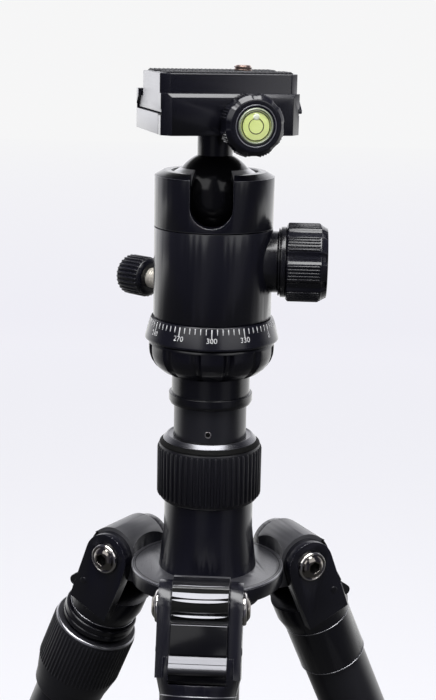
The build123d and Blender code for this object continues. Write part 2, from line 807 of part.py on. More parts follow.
# ================================================================ quick-release plate
screw_along = plate_shift + camera_screw_along
with BuildPart() as qr_plate:
    with BuildSketch(clamp_section.offset(plate_shift)):
        with BuildLine():
            Polyline(
                (-dovetail_half_width, plate_bottom),
                (dovetail_half_width, plate_bottom),
                (dovetail_half_width, plate_bottom + dovetail_land),
                (dovetail_neck_half_width, dovetail_top),
                (dovetail_neck_half_width, slab_top),
                (-dovetail_neck_half_width, slab_top),
                (-dovetail_neck_half_width, dovetail_top),
                (-dovetail_half_width, plate_bottom + dovetail_land),
                close=True,
            )
        make_face()
    extrude(amount=plate_length / 2, both=True)
    with BuildSketch(clamp_plan.offset(dovetail_top)):
        with Locations((plate_shift, 0)):
            with GridLocations(plate_length, 2 * dovetail_neck_half_width, 2, 2):
                Rectangle(plate_corner * sqrt(2), plate_corner * sqrt(2), rotation=45)
    extrude(amount=slab_top - dovetail_top, mode=Mode.SUBTRACT)
    with BuildSketch(clamp_plan.offset(plate_bottom)):
        with Locations((screw_along, 0)):
            Circle(camera_screw_head_radius + face_gap)
    extrude(amount=camera_screw_head + 2 * face_gap, mode=Mode.SUBTRACT)
    with BuildSketch(clamp_plan.offset(plate_bottom)):
        with Locations((screw_along, 0)):
            Circle(camera_screw_radius + running_fit)
    extrude(amount=slab_top - plate_bottom, mode=Mode.SUBTRACT)
qr_plate.part.label = "qr_plate"
export_step(qr_plate.part, "parts/qr_plate.step")

with BuildPart() as plate_pads:
    with BuildSketch(clamp_plan.offset(slab_top)):
        with Locations((plate_shift, 0)):
            Rectangle(plate_length - 2 * pad_margin, 2 * (dovetail_neck_half_width - pad_margin))
            Rectangle(plate_length, 2 * camera_screw_radius + pad_margin, mode=Mode.SUBTRACT)
    extrude(amount=pad_thickness)
plate_pads.part.label = "plate_pads"
export_step(plate_pads.part, "parts/plate_pads.step")

with BuildPart() as camera_screw:
    # A head, a relieved shank that keeps the screw in the plate, and the thread above.
    with BuildSketch(clamp_plan.offset(plate_bottom + face_gap)):
        with Locations((screw_along, 0)):
            Circle(camera_screw_head_radius)
    extrude(amount=camera_screw_head)
    with BuildSketch(clamp_plan.offset(plate_bottom + face_gap)):
        with Locations((screw_along, 0)):
            Circle(camera_screw_shank_radius)
    extrude(amount=slab_top - plate_bottom)
    with BuildSketch(clamp_plan.offset(slab_top + face_gap)):
        with Locations((screw_along, 0)):
            Circle(camera_screw_radius)
    extrude(amount=camera_screw_top - slab_top - face_gap)
camera_screw.part.label = "camera_screw"
export_step(camera_screw.part, "parts/camera_screw.step")
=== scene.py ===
"""Dresses a compact tripod with a ball head and a dovetail quick-release clamp.

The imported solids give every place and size. Local drawings are in millimetres, about the
axis that a piece was turned on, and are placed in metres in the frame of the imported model.
"""

import json
import logging
import math
from dataclasses import dataclass, field
from enum import Enum
from typing import Optional, Sequence, Union

import bmesh
import bpy
from bpy.types import GeometryNodeTree, Material, Mesh, Node, NodeSocket, NodeTree, Object
from mathutils import Matrix, Vector


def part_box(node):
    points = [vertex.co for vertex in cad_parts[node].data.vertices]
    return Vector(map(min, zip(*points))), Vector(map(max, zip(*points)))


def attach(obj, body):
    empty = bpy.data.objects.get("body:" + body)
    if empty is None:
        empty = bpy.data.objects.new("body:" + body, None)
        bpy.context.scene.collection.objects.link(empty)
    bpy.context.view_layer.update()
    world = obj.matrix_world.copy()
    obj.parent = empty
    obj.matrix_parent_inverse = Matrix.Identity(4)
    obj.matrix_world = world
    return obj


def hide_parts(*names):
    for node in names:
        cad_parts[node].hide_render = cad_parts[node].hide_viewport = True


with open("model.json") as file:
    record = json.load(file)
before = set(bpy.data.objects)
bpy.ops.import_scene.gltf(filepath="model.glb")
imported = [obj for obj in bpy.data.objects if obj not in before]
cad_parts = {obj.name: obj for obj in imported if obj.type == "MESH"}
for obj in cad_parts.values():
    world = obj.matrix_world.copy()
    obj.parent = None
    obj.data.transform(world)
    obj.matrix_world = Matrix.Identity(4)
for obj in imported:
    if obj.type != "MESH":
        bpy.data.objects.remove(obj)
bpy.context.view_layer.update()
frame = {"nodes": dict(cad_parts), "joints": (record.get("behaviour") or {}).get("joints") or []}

MM = 0.001
UP = Vector((0, 0, 1))
PLATFORM_FOOT = 73.0  # height of the platform's foot above the spider's disc, in millimetres
LOG = logging.getLogger("tripod")

Profile = list[tuple[float, float]]
Triple = tuple[float, float, float]
Colour = Triple
Input = Union[float, tuple, Node, NodeSocket]


class Side(Enum):
    """The three legs, by where they stand."""

    FRONT = "front"
    RIGHT = "right"
    LEFT = "left"


class Grain(Enum):
    """How the fine marks of a finish run: size across, around and along the piece's axis."""

    BLASTED = (0.00022, 0.00022, 0.00022)
    TURNED = (0.02, 0.02, 0.00025)
    DRAWN = (0.0004, 0.0004, 0.03)
    MOULDED = (0.0006, 0.0006, 0.0006)


# ---------------------------------------------------------------- node trees
class Graph:
    """Adds nodes to a node tree and joins them. A node stands for its first output in use."""

    def __init__(self, tree: NodeTree) -> None:
        """Takes the tree that the nodes go into."""
        self.tree = tree

    def put(self, kind: str, settings: Optional[dict] = None, *values: Input, **named: Input) -> Node:
        """Adds a node, sets its properties and fills its inputs.

        Args:
            kind: The node's type.
            settings: Properties of the node.
            *values: What fills its inputs, in order.
            **named: What fills its inputs, by name with spaces as underscores.

        Returns:
            The node.
        """
        node = self.tree.nodes.new(kind)
        for key, value in (settings or {}).items():
            setattr(node, key, value)
        for socket, value in zip(node.inputs, values):
            self.fill(socket, value)
        for key, value in named.items():
            self.fill(node.inputs[key.replace("_", " ")], value)
        return node

    def fill(self, socket: NodeSocket, value: Input) -> None:
        """Joins an input to a node or a socket, or sets its plain value.

        Args:
            socket: The input.
            value: What fills it.
        """
        if isinstance(value, Node):
            value = next(output for output in value.outputs if output.enabled)
        if isinstance(value, NodeSocket):
            self.tree.links.new(value, socket)
        else:
            socket.default_value = value

    def math(self, operation: str, *values: Input) -> Node:
        """Adds a Math node."""
        return self.put("ShaderNodeMath", {"operation": operation}, *values)

    def product(self, first: Input, *others: Input) -> Input:
        """Multiplies values, one after the other."""
        return self.product(self.math("MULTIPLY", first, others[0]), *others[1:]) if others else first

    def vector_math(self, operation: str, *values: Input) -> Node:
        """Adds a Vector Math node."""
        return self.put("ShaderNodeVectorMath", {"operation": operation}, *values)

    def ranged(self, value: Input, smooth: bool = False, **limits: Input) -> Node:
        """Adds a Map Range node, with its limits by input name."""
        kind = "SMOOTHSTEP" if smooth else "LINEAR"
        return self.put("ShaderNodeMapRange", {"interpolation_type": kind}, Value=value, **limits)

    def tone(self, share: Input, first: Input, second: Input) -> Node:
        """Adds a Mix node between two colours."""
        return self.put("ShaderNodeMix", {"data_type": "RGBA"}, Factor=share, A=first, B=second)

    def shaders(self, share: Input, first: Input, second: Input) -> Node:
        """Adds a Mix Shader node between two shaders."""
        return self.put("ShaderNodeMixShader", None, share, first, second)


def emptied(owner: bpy.types.ID) -> Graph:
    """Gives a material or a world an empty node tree.

    Args:
        owner: The material or the world.

    Returns:
        The graph of its tree.
    """
    owner.use_nodes = True
    owner.node_tree.nodes.clear()
    return Graph(owner.node_tree)


# ---------------------------------------------------------------- finishes
def rgba(colour: Colour, scale: float = 1.0) -> tuple[float, ...]:
    """Returns a colour as a node's value, divided by a scale."""
    return (*(part / scale for part in colour), 1)


@dataclass(frozen=True)
class Finish:
    """One surface finish as a procedural material. Its colours are in thousandths."""

    name: str
    colour: Colour
    mottle: Colour
    roughness: float
    metallic: float = 0.0
    grain: Grain = Grain.BLASTED
    spread: float = 0.06
    bump: float = 0.08
    coat: float = 0.0
    ior: float = 1.5
    wear: float = 0.0
    worn: Colour = (350, 350, 360)

    def material(self, axis: Vector = UP) -> Material:
        """Returns the material whose grain is aligned with an axis, made once for each.

        Args:
            axis: Direction that the piece was turned or drawn along.

        Returns:
            The material.
        """
        turn = UP.rotation_difference(axis.normalized()).to_euler()
        key = "_".join([self.name, *(str(round(math.degrees(angle))) for angle in turn)])
        if key in bpy.data.materials:
            return bpy.data.materials[key]
        made = bpy.data.materials.new(key)
        graph = emptied(made)
        where = graph.put("ShaderNodeTexCoord").outputs["Object"]
        mapped = {"Vector": where, "Rotation": turn, "Scale": self.grain.value}
        aligned = graph.put("ShaderNodeMapping", {"vector_type": "TEXTURE"}, **mapped)
        fine = graph.put("ShaderNodeTexNoise", None, Vector=aligned, Scale=1.0, Detail=2.0)
        broad = graph.put("ShaderNodeTexNoise", None, Vector=where, Scale=70.0, Detail=4.0)
        colour = graph.tone(broad, rgba(self.colour, 1000), rgba(self.mottle, 1000))
        if self.wear > 0:
            edges = graph.put("ShaderNodeNewGeometry").outputs["Pointiness"]
            rubbed = graph.ranged(edges, From_Min=0.53, From_Max=0.62, To_Max=self.wear)
            colour = graph.tone(graph.product(rubbed, broad), colour, rgba(self.worn, 1000))
        low, high = max(self.roughness - self.spread, 0.02), min(self.roughness + self.spread, 1.0)
        shader = graph.put(
            "ShaderNodeBsdfPrincipled",
            Base_Color=colour,
            Metallic=self.metallic,
            Roughness=graph.ranged(fine, To_Min=low, To_Max=high),
            IOR=self.ior,
            Normal=graph.put("ShaderNodeBump", Strength=self.bump, Distance=0.00006, Height=fine),
            Coat_Weight=self.coat,
            Coat_Roughness=0.08,
        )
        graph.put("ShaderNodeOutputMaterial", Surface=shader)
        return made


SATIN_BLACK = Finish("satin_black", (3, 3, 6), (6, 6, 10), 0.23, ior=1.48, bump=0.015, wear=0.05, spread=0.02)
CAST_BLACK = Finish("cast_black", (35, 35, 39), (50, 50, 55), 0.40, ior=1.6, bump=0.12, wear=0.05)
TURNED_BLACK = Finish("turned_black", (3, 3, 5), (6, 6, 8), 0.22, grain=Grain.TURNED, bump=0.03)
DRAWN_BLACK = Finish("drawn_black", (9, 9, 12), (13, 13, 16), 0.33, grain=Grain.DRAWN)
# Painted shade: a darker, glossier copy of the cast finish, for the front hub's cover alone.
COVER_SHADE_BLACK = Finish("cover_black", (3, 3, 4), (6, 6, 8), 0.20, grain=Grain.TURNED, bump=0.02, ior=1.68)
LATCH_BLACK = Finish("latch_black", (2, 2, 3), (4, 4, 5), 0.15, grain=Grain.TURNED, bump=0.02, ior=1.27)
BALL_BLACK = Finish("ball_black", (3, 3, 4), (6, 6, 7), 0.15, spread=0.03, bump=0.01, ior=1.32)
# Painted highlight: a more reflective copy of the cast finish, given to the disc's upward faces to make them
# look lighter.
DISC_TOP_HIGHLIGHT = Finish("disc_top", (20, 20, 24), (30, 30, 34), 0.29, ior=2.1, bump=0.10)
# Near-black with almost no reflection: painted shade in gaps, grooves, holes and sockets, and also the
# level's printed rings.
PRINT_AND_SHADE_BLACK = Finish("dark_line", (4, 4, 4), (7, 7, 7), 0.6, grain=Grain.MOULDED, ior=1.12)
RUBBER = Finish("rubber", (6, 6, 9), (11, 11, 14), 0.46, grain=Grain.MOULDED, spread=0.1, bump=0.3)
GRIP_RUBBER = Finish("grip_rubber", (3, 3, 5), (6, 6, 9), 0.40, 0.0, Grain.MOULDED, 0.1, 0.2, ior=1.42)
PLASTIC = Finish("plastic", (12, 12, 13), (17, 17, 18), 0.45, grain=Grain.MOULDED, bump=0.15)
PRINT = Finish("white_print", (520, 520, 530), (620, 620, 620), 0.6, grain=Grain.MOULDED, bump=0.05)
# Painted highlight: a pale metal for rounded edges and thin rings, standing for the glints that they catch.
EDGE_HIGHLIGHT = Finish("bright_edge", (320, 320, 340), (420, 420, 440), 0.28, 0.9, Grain.TURNED)
MILLED_END = Finish("milled_end", (400, 400, 410), (470, 470, 480), 0.40, 0.8)
# Painted highlight: bright metal copies of the black for the hub's steps, the latch's top edge and its lip.
STEP_HIGHLIGHT = Finish("polished_step", (68, 68, 73), (88, 88, 94), 0.19, 1.0, Grain.DRAWN, bump=0.02)
LIP_HIGHLIGHT = Finish("polished_lip", (66, 66, 71), (84, 84, 90), 0.34, 1.0, Grain.DRAWN, bump=0.02)
SILVER = Finish("silver", (100, 100, 108), (130, 130, 140), 0.28, 1.0, Grain.TURNED, bump=0.15)
SEAT = Finish("ball_seat", (520, 520, 530), (600, 600, 610), 0.30, 0.7, Grain.TURNED)
CHROME = Finish("chrome", (500, 480, 460), (600, 580, 560), 0.10, 1.0, spread=0.04, bump=0.02)
DARK_CHROME = Finish("dark_chrome", (160, 150, 140), (240, 220, 200), 0.08, 1.0, spread=0.03, bump=0.02)
STEEL = Finish("steel", (580, 550, 510), (680, 650, 610), 0.26, 1.0, Grain.TURNED, bump=0.1)
PLATED = Finish("plated_steel", (660, 620, 540), (800, 760, 680), 0.30, 0.4, Grain.TURNED)
COPPERY = Finish("coppery_steel", (340, 260, 230), (440, 330, 290), 0.28, 1.0, Grain.TURNED)
LIQUID = Finish("level_liquid", (720, 840, 260), (860, 940, 420), 0.12, spread=0.04, bump=0.0, coat=1.0)
BUBBLE = Finish("bubble", (800, 860, 660), (920, 950, 800), 0.08, spread=0.03, bump=0.0, coat=1.0)
CLEAR_RIM = Finish("clear_rim", (220, 250, 170), (300, 330, 240), 0.16, spread=0.04, bump=0.02, coat=0.6)


# ---------------------------------------------------------------- places
def axes_at(origin: Vector, z: Vector, x: Vector) -> Matrix:
    """Returns the matrix from millimetres about a local axis to metres in the model's frame.

    Args:
        origin: Where the local origin stands, in metres.
        z: Direction of the local Z axis.
        x: Direction that the local X axis leans towards.

    Returns:
        A 4x4 matrix with the millimetre scale in it.
    """
    z = z.normalized()
    x = (x - z * x.dot(z)).normalized()
    turn = Matrix((x, z.cross(x), z)).transposed().to_4x4()
    return Matrix.Translation(origin) @ turn @ Matrix.Scale(MM, 4)


def height_axes(height: float) -> Matrix:
    """Returns the upright axes on the column's line, at a height in metres."""
    return axes_at(Vector((0, 0, height)), UP, Vector((1, 0, 0)))


def disc_level() -> float:
    """Returns the height of the spider's disc in metres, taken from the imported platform."""
    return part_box("top_platform")[0].z - PLATFORM_FOOT * MM


def joint(name: str) -> tuple[Vector, Vector]:
    """Returns a joint's point in metres (zero for a slide) and its unit direction."""
    found = next(j for j in frame["joints"] if j["name"] == name)
    return Vector(found.get("pos_m") or (0, 0, 0)), Vector(found["axis"]).normalized()


# ---------------------------------------------------------------- meshes
def closes(profile: Profile) -> bool:
    """Returns whether a profile starts off the axis, and so closes on itself like a tube's."""
    return profile[0][0] > 0


def soften(profile: Profile, radius: float) -> Profile:
    """Rounds the corners of a profile with short curves.

    Args:
        profile: Points as (radius, height), in millimetres.
        radius: How far from each corner the curve starts.

    Returns:
        The rounded profile.
    """
    rounded: Profile = []
    count = len(profile)
    for index, point in enumerate(profile):
        corner = Vector(point)
        back = Vector(profile[index - 1]) - corner
        ahead = Vector(profile[(index + 1) % count]) - corner
        is_end = index in (0, count - 1) and not closes(profile)
        if is_end or min(back.length, ahead.length) < 1e-6 or math.pi - back.angle(ahead) < math.radians(10):
            rounded.append(tuple(corner))
            continue
        reach = min(radius, 0.45 * back.length, 0.45 * ahead.length)
        start = corner + back.normalized() * reach
        end = corner + ahead.normalized() * reach
        for step in (0.0, 0.33, 0.67, 1.0):
            rounded.append(tuple(start * (1 - step) ** 2 + corner * 2 * step * (1 - step) + end * step**2))
    return rounded


def meshed(work: bmesh.types.BMesh, name: str, outwards: bool = True) -> Mesh:
    """Writes a BMesh into a new mesh and frees it.

    Args:
        work: The BMesh.
        name: Name of the mesh.
        outwards: Whether its faces are turned outwards first.

    Returns:
        The mesh.
    """
    if outwards:
        bmesh.ops.recalc_face_normals(work, faces=work.faces)
    mesh = bpy.data.meshes.new(name)
    work.to_mesh(mesh)
    work.free()
    return mesh


def turned(profile: Profile, segments: int = 96) -> Mesh:
    """Turns a profile about the local Z axis into a closed mesh.

    Args:
        profile: Points as (radius, height), from axis to axis or closing on itself.
        segments: Number of steps around.

    Returns:
        A mesh in millimetres, with its faces outwards.
    """
    work = bmesh.new()
    rows = []
    for radius, height in profile:
        if radius < 1e-6:
            rows.append([work.verts.new((0, 0, height))])
            continue
        steps = (2 * math.pi * index / segments for index in range(segments))
        rows.append([work.verts.new((radius * math.cos(a), radius * math.sin(a), height)) for a in steps])
    pairs = list(zip(rows, rows[1:]))
    if closes(profile):
        pairs.append((rows[-1], rows[0]))
    for low, high in pairs:
        for index in range(segments):
            after = (index + 1) % segments
            quad = ((low, index), (low, after), (high, after), (high, index))
            corners = list(dict.fromkeys(row[step % len(row)] for row, step in quad))
            if len(corners) > 2:
                work.faces.new(corners)
    return meshed(work, "turned")


def lofted(rows: Sequence[Sequence[Triple]]) -> Mesh:
    """Skins a row of like sections into a closed body with flat ends.

    Args:
        rows: The sections in order, each a closed loop of points in millimetres.

    Returns:
        A closed mesh in millimetres.
    """
    work = bmesh.new()
    loops = [[work.verts.new(point) for point in row] for row in rows]
    count = len(loops[0])
    for low, high in zip(loops, loops[1:]):
        for index in range(count):
            after = (index + 1) % count
            work.faces.new((low[index], low[after], high[after], high[index]))
    work.faces.new(loops[0])
    work.faces.new(list(reversed(loops[-1])))
    return meshed(work, "lofted")


def swept(profile: Profile, start: float, end: float, segments: int) -> Mesh:
    """Sweeps a closed profile round the local Z axis between two angles in radians, with flat ends."""
    turns = [start + (end - start) * index / segments for index in range(segments + 1)]
    return lofted([[(r * math.cos(turn), r * math.sin(turn), h) for r, h in profile] for turn in turns])


def joined(meshes: Sequence[tuple[Mesh, Matrix]]) -> Mesh:
    """Gathers meshes, each at its own place, into one.

    Args:
        meshes: Each mesh and the matrix that places it. The meshes are removed.

    Returns:
        One mesh.
    """
    work = bmesh.new()
    for mesh, place in meshes:
        mesh.transform(place)
        work.from_mesh(mesh)
        bpy.data.meshes.remove(mesh)
    return meshed(work, "joined", outwards=False)


def evaluated(obj: Object) -> Mesh:
    """Makes the plain mesh that an object's modifiers or its text give.

    Args:
        obj: The object.

    Returns:
        A new mesh.
    """
    bpy.context.view_layer.update()
    graph = bpy.context.evaluated_depsgraph_get()
    final = obj.evaluated_get(graph)
    return bpy.data.meshes.new_from_object(final, preserve_all_data_layers=True, depsgraph=graph)


def applied(obj: Object) -> Mesh:
    """Leaves an object with the plain mesh that its modifiers gave.

    Args:
        obj: An object with modifiers.

    Returns:
        The mesh that the object now holds.
    """
    mesh = evaluated(obj)
    obj.modifiers.clear()
    obj.data = mesh
    return mesh


def stand(name: str, data: bpy.types.ID) -> Object:
    """Puts a mesh, a text, a lamp or a camera into the scene as an object at the origin.

    Args:
        name: The object's name.
        data: What it holds.

    Returns:
        The object.
    """
    data.name = name
    obj = bpy.data.objects.new(name, data)
    bpy.context.scene.collection.objects.link(obj)
    return obj


def bevelled(obj: Object, width: float, edge: bool = False) -> None:
    """Rounds an object's hard edges and keeps its flats flat.

    Args:
        obj: The object, in metres.
        width: Width of the rounding, in millimetres.
        edge: Whether the rounding takes the object's second material, the edge finish of a painted highlight.
    """
    rounding = obj.modifiers.new("edges", "BEVEL")
    rounding.width = width * MM
    rounding.segments = 2
    rounding.limit_method = "ANGLE"
    rounding.angle_limit = math.radians(28)
    rounding.harden_normals = True
    rounding.material = 1 if edge else -1
    applied(obj)


def cad_copy(node: str, name: str, axis: Vector, *finishes: Finish) -> Object:
    """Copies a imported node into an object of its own, with its loose triangles merged.

    Args:
        node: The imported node.
        name: Name of the copy.
        axis: Direction that its finishes' grain follows.
        *finishes: Its finishes. The first covers all of it.

    Returns:
        The copy, smooth shaded.
    """
    work = bmesh.new()
    work.from_mesh(frame["nodes"][node].data)
    bmesh.ops.remove_doubles(work, verts=work.verts, dist=2e-6)
    bmesh.ops.dissolve_degenerate(work, edges=work.edges, dist=1e-6)
    bmesh.ops.dissolve_limit(work, angle_limit=math.radians(0.6), verts=work.verts, edges=work.edges)
    for face in work.faces:
        face.smooth = True
        face.material_index = 0
    copy = stand(name, meshed(work, name, outwards=False))
    for finish in finishes:
        copy.data.materials.append(finish.material(axis))
    return copy


# ---------------------------------------------------------------- Geometry Nodes
class TreeMaker(Graph):
    """Builds one Geometry Nodes tree with named inputs."""

    def __init__(self, name: str, takes_mesh: bool, **sizes: float) -> None:
        """Starts the tree and its inputs.

        Args:
            name: The tree's name.
            takes_mesh: Whether it works on the mesh of the object that carries it.
            **sizes: Its inputs with their defaults. A whole number makes a whole-number input.
        """
        super().__init__(bpy.data.node_groups.new(name, "GeometryNodeTree"))
        sockets = self.tree.interface
        if takes_mesh:
            sockets.new_socket("Geometry", in_out="INPUT", socket_type="NodeSocketGeometry")
        for key, value in sizes.items():
            kind = "NodeSocketInt" if isinstance(value, int) else "NodeSocketFloat"
            added = sockets.new_socket(key.replace("_", " "), in_out="INPUT", socket_type=kind)
            added.default_value = value
        sockets.new_socket("Finish", in_out="INPUT", socket_type="NodeSocketMaterial")
        sockets.new_socket("Geometry", in_out="OUTPUT", socket_type="NodeSocketGeometry")
        self.given = self.put("NodeGroupInput").outputs
        self.sizes = [self.given[key.replace("_", " ")] for key in sizes]

    def position(self) -> Sequence[NodeSocket]:
        """Returns the three parts of each point's place."""
        return self.put("ShaderNodeSeparateXYZ", None, self.put("GeometryNodeInputPosition")).outputs

    def vector(self, *parts: Input) -> Node:
        """Adds a Combine XYZ node."""
        return self.put("ShaderNodeCombineXYZ", None, *parts)

    def move(self, geometry: Input, position: Input) -> Node:
        """Adds a Set Position node."""
        return self.put("GeometryNodeSetPosition", Geometry=geometry, Position=position)

    def close(self, geometry: Input) -> GeometryNodeTree:
        """Ends the tree in Realize Instances and Set Material.

        Args:
            geometry: What it has made.

        Returns:
            The tree.
        """
        real = self.put("GeometryNodeRealizeInstances", Geometry=geometry)
        dressed = self.put("GeometryNodeSetMaterial", Geometry=real, Material=self.given["Finish"])
        self.put("NodeGroupOutput", None, dressed)
        return self.tree


def rib_ring_tree() -> GeometryNodeTree:
    """Makes the tree that sets rounded bars around an axis, in even groups.

    Returns:
        The tree.
    """
    counts = {"Groups": 8, "Per_Group": 1}
    bar = {"Length": 10.0, "Width": 1.0, "Height": 0.5, "Tip": 0.5}
    make = TreeMaker("rib_ring", False, **counts, Pitch=0.1, Start=0.0, Radius=10.0, Lean=0.0, **bar)
    groups, per_group, pitch, start, radius, lean, length, width, height, tip = make.sizes
    rounds = {"Vertices": 8, "Side_Segments": 3, "Radius": 1.0, "Depth": length}
    bar = make.put("GeometryNodeMeshCylinder", {"fill_type": "NGON"}, **rounds)
    x, y, z = make.position()
    is_end = make.math("GREATER_THAN", make.math("ABSOLUTE", z), make.product(length, 0.3))
    slim = make.math("SUBTRACT", 1.0, make.product(is_end, 0.5))
    inset = make.product(tip, make.math("SUBTRACT", 1.0, is_end))
    reach = make.math("SUBTRACT", make.product(length, 0.5), inset)
    shaped = make.vector(
        make.product(x, height, slim),
        make.product(y, make.product(width, 0.5), slim),
        make.product(make.math("SIGN", z), reach),
    )
    rib = make.move(bar, shaped)

    points = make.put("GeometryNodeMeshLine", Count=make.product(groups, per_group), Offset=(0, 0, 0))
    index = make.put("GeometryNodeInputIndex")
    group = make.math("FLOOR", make.math("DIVIDE", make.math("ADD", index, 0.5), per_group))
    place_in_group = make.math("SUBTRACT", index, make.product(group, per_group))
    middle = make.product(make.math("SUBTRACT", per_group, 1.0), 0.5)
    offset = make.product(make.math("SUBTRACT", place_in_group, middle), pitch)
    step = make.math("DIVIDE", 2 * math.pi, groups)
    angle = make.math("ADD", make.math("ADD", start, make.product(group, step)), offset)
    across, ahead = (make.product(radius, make.math(way, angle)) for way in ("COSINE", "SINE"))
    turn = make.put("FunctionNodeEulerToRotation", None, make.vector(0.0, lean, angle))
    placed = make.move(points, make.vector(across, ahead, 0.0))
    return make.close(make.put("GeometryNodeInstanceOnPoints", Points=placed, Instance=rib, Rotation=turn))


def flutes_tree() -> GeometryNodeTree:
    """Makes the tree that presses even flutes into a turned body, between two heights.

    Returns:
        The tree.
    """
    edges = {"Edge_Low": 0.0, "Edge_High": 1.0}
    make = TreeMaker("flutes", True, Count=8, Depth=1.0, Phase=0.0, **edges, Low=0.0, High=10.0, Inner=0.0)
    count, depth, phase, edge_low, edge_high, low, high, inner = make.sizes
    x, y, z = make.position()
    wave = make.math("COSINE", make.product(make.math("SUBTRACT", make.math("ARCTAN2", y, x), phase), count))
    press = make.ranged(wave, True, From_Min=edge_low, From_Max=edge_high, To_Min=0.0, To_Max=depth)
    radius = make.math("SQRT", make.math("ADD", make.product(x, x), make.product(y, y)))
    within = (make.math("GREATER_THAN", z, low), make.math("LESS_THAN", z, high))
    shift = make.product(press, make.product(*within, make.math("GREATER_THAN", radius, inner)))
    scale = make.math("DIVIDE", make.math("SUBTRACT", radius, shift), make.math("MAXIMUM", radius, 0.001))
    moved = make.vector(make.product(x, scale), make.product(y, scale), z)
    return make.close(make.move(make.given["Geometry"], moved))


def bump_grid_tree() -> GeometryNodeTree:
    """Makes the tree that covers a flat pad with a grid of small round bumps.

    Returns:
        The tree.
    """
    make = TreeMaker("bump_grid", False, Across=10.0, Down=10.0, Columns=8, Rows=8, Radius=0.5, Height=0.5)
    across, down, columns, rows, radius, height = make.sizes
    grid = make.put("GeometryNodeMeshGrid", None, across, down, columns, rows)
    dome = make.put("GeometryNodeMeshUVSphere", Segments=8, Rings=4, Radius=1.0)
    shaped = make.put("GeometryNodeTransform", Geometry=dome, Scale=make.vector(radius, radius, height))
    return make.close(make.put("GeometryNodeInstanceOnPoints", Points=grid, Instance=shaped))


def thread_tree() -> GeometryNodeTree:
    """Makes the tree that winds a screw's thread as a ridge along a helix.

    Returns:
        The tree.
    """
    make = TreeMaker("thread", False, Radius=3.0, Pitch=1.27, Length=5.0, Depth=0.5)
    radius, pitch, length, depth = make.sizes
    turns = make.math("DIVIDE", length, pitch)
    winding = {"Resolution": 40, "Rotations": turns, "Height": length}
    helix = make.put("GeometryNodeCurveSpiral", Start_Radius=radius, End_Radius=radius, **winding)
    section = make.put("GeometryNodeCurvePrimitiveCircle", {"mode": "RADIUS"}, Resolution=4, Radius=depth)
    return make.close(make.put("GeometryNodeCurveToMesh", Curve=helix, Profile_Curve=section, Fill_Caps=True))


RIB_RING = rib_ring_tree()
FLUTES = flutes_tree()
BUMP_GRID = bump_grid_tree()
THREAD = thread_tree()


# ---------------------------------------------------------------- pieces
@dataclass
class Place:
    """Where pieces belong: their axes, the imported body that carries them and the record's slot."""

    axes: Matrix
    body: str
    slot: str = "black_aluminium"

    def settle(
        self,
        obj: Object,
        *nodes: str,
        finish: Optional[Finish] = None,
        grain: Optional[Vector] = None,
        crease: float = 32.0,
    ) -> None:
        """Gives a placed piece its look, the body that it rides on and the nodes it stands for.

        Args:
            obj: The piece.
            *nodes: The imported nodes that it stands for.
            finish: Its finish, where its mesh has none yet.
            grain: Direction that the grain follows, where it isn't the axes' own.
            crease: Angle in degrees past which an edge is drawn sharp.
        """
        mesh = obj.data
        if finish is not None:
            mesh.materials.clear()
            mesh.materials.append(finish.material(grain or self.axes.to_3x3() @ UP))
        if not mesh.has_custom_normals:
            mesh.shade_smooth()
            mesh.set_sharp_from_angle(angle=math.radians(crease))
        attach(obj, self.body)
        if nodes:
            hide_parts(*nodes)
        LOG.info("%s: %d faces on %s", obj.name, len(mesh.polygons), self.body)

    def turned(
        self,
        name: str,
        profile: Profile,
        finish: Finish,
        *nodes: str,
        round_by: float = 0.3,
        segments: int = 96,
    ) -> None:
        """Makes a turned piece, rounds its edges and settles it.

        Args:
            name: The piece's name.
            profile: Points as (radius, height), in millimetres.
            finish: Its finish.
            *nodes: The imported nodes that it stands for.
            round_by: How far its corners are rounded, in millimetres.
            segments: Number of steps around.
        """
        mesh = turned(soften(profile, round_by), segments)
        mesh.transform(self.axes)
        self.settle(stand(name, mesh), *nodes, finish=finish)

    def grow(
        self,
        tree: GeometryNodeTree,
        name: str,
        finish: Finish,
        *nodes: str,
        at: Sequence[float] = (0, 0, 0),
        mesh: Optional[Mesh] = None,
        crease: float = 32.0,
        **sizes: float,
    ) -> None:
        """Runs a tree, takes its result as a plain mesh and settles it.

        Args:
            tree: The Geometry Nodes tree.
            name: The piece's name.
            finish: Its finish.
            *nodes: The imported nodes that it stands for.
            at: Where its origin stands on the axes, in millimetres.
            mesh: The mesh that the tree works on, where it takes one.
            crease: Angle in degrees past which an edge is drawn sharp.
            **sizes: The tree's inputs, with spaces as underscores.
        """
        obj = stand(name, mesh or bpy.data.meshes.new(name))
        run = obj.modifiers.new(tree.name, "NODES")
        run.node_group = tree
        keys = {item.name: item.identifier for item in tree.interface.items_tree if item.in_out == "INPUT"}
        run[keys["Finish"]] = finish.material(self.axes.to_3x3() @ UP)
        for label, value in sizes.items():
            run[keys[label.replace("_", " ")]] = value
        applied(obj).transform(self.axes @ Matrix.Translation(at))
        self.settle(obj, *nodes, crease=crease)

    def ribs(self, name: str, height: float, finish: Finish, **sizes: float) -> None:
        """Sets a ring of ribs at a height on the axes, sized by the rib ring's inputs."""
        self.grow(RIB_RING, name, finish, at=(0, 0, height), crease=50.0, **sizes)


def milled_block(node: str, name: str, body: str, along: Vector) -> None:
    """Copies a machined block, with paler milled ends.

    Args:
        node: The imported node.
        name: The piece's name.
        body: The body that carries it.
        along: Direction that its section runs along.
    """
    block = cad_copy(node, name, along, SATIN_BLACK, MILLED_END)
    for face in block.data.polygons:
        if abs(face.normal.dot(along)) > 0.98:
            face.material_index = 1
    bevelled(block, 0.3)
    Place(height_axes(0), body).settle(block, node)


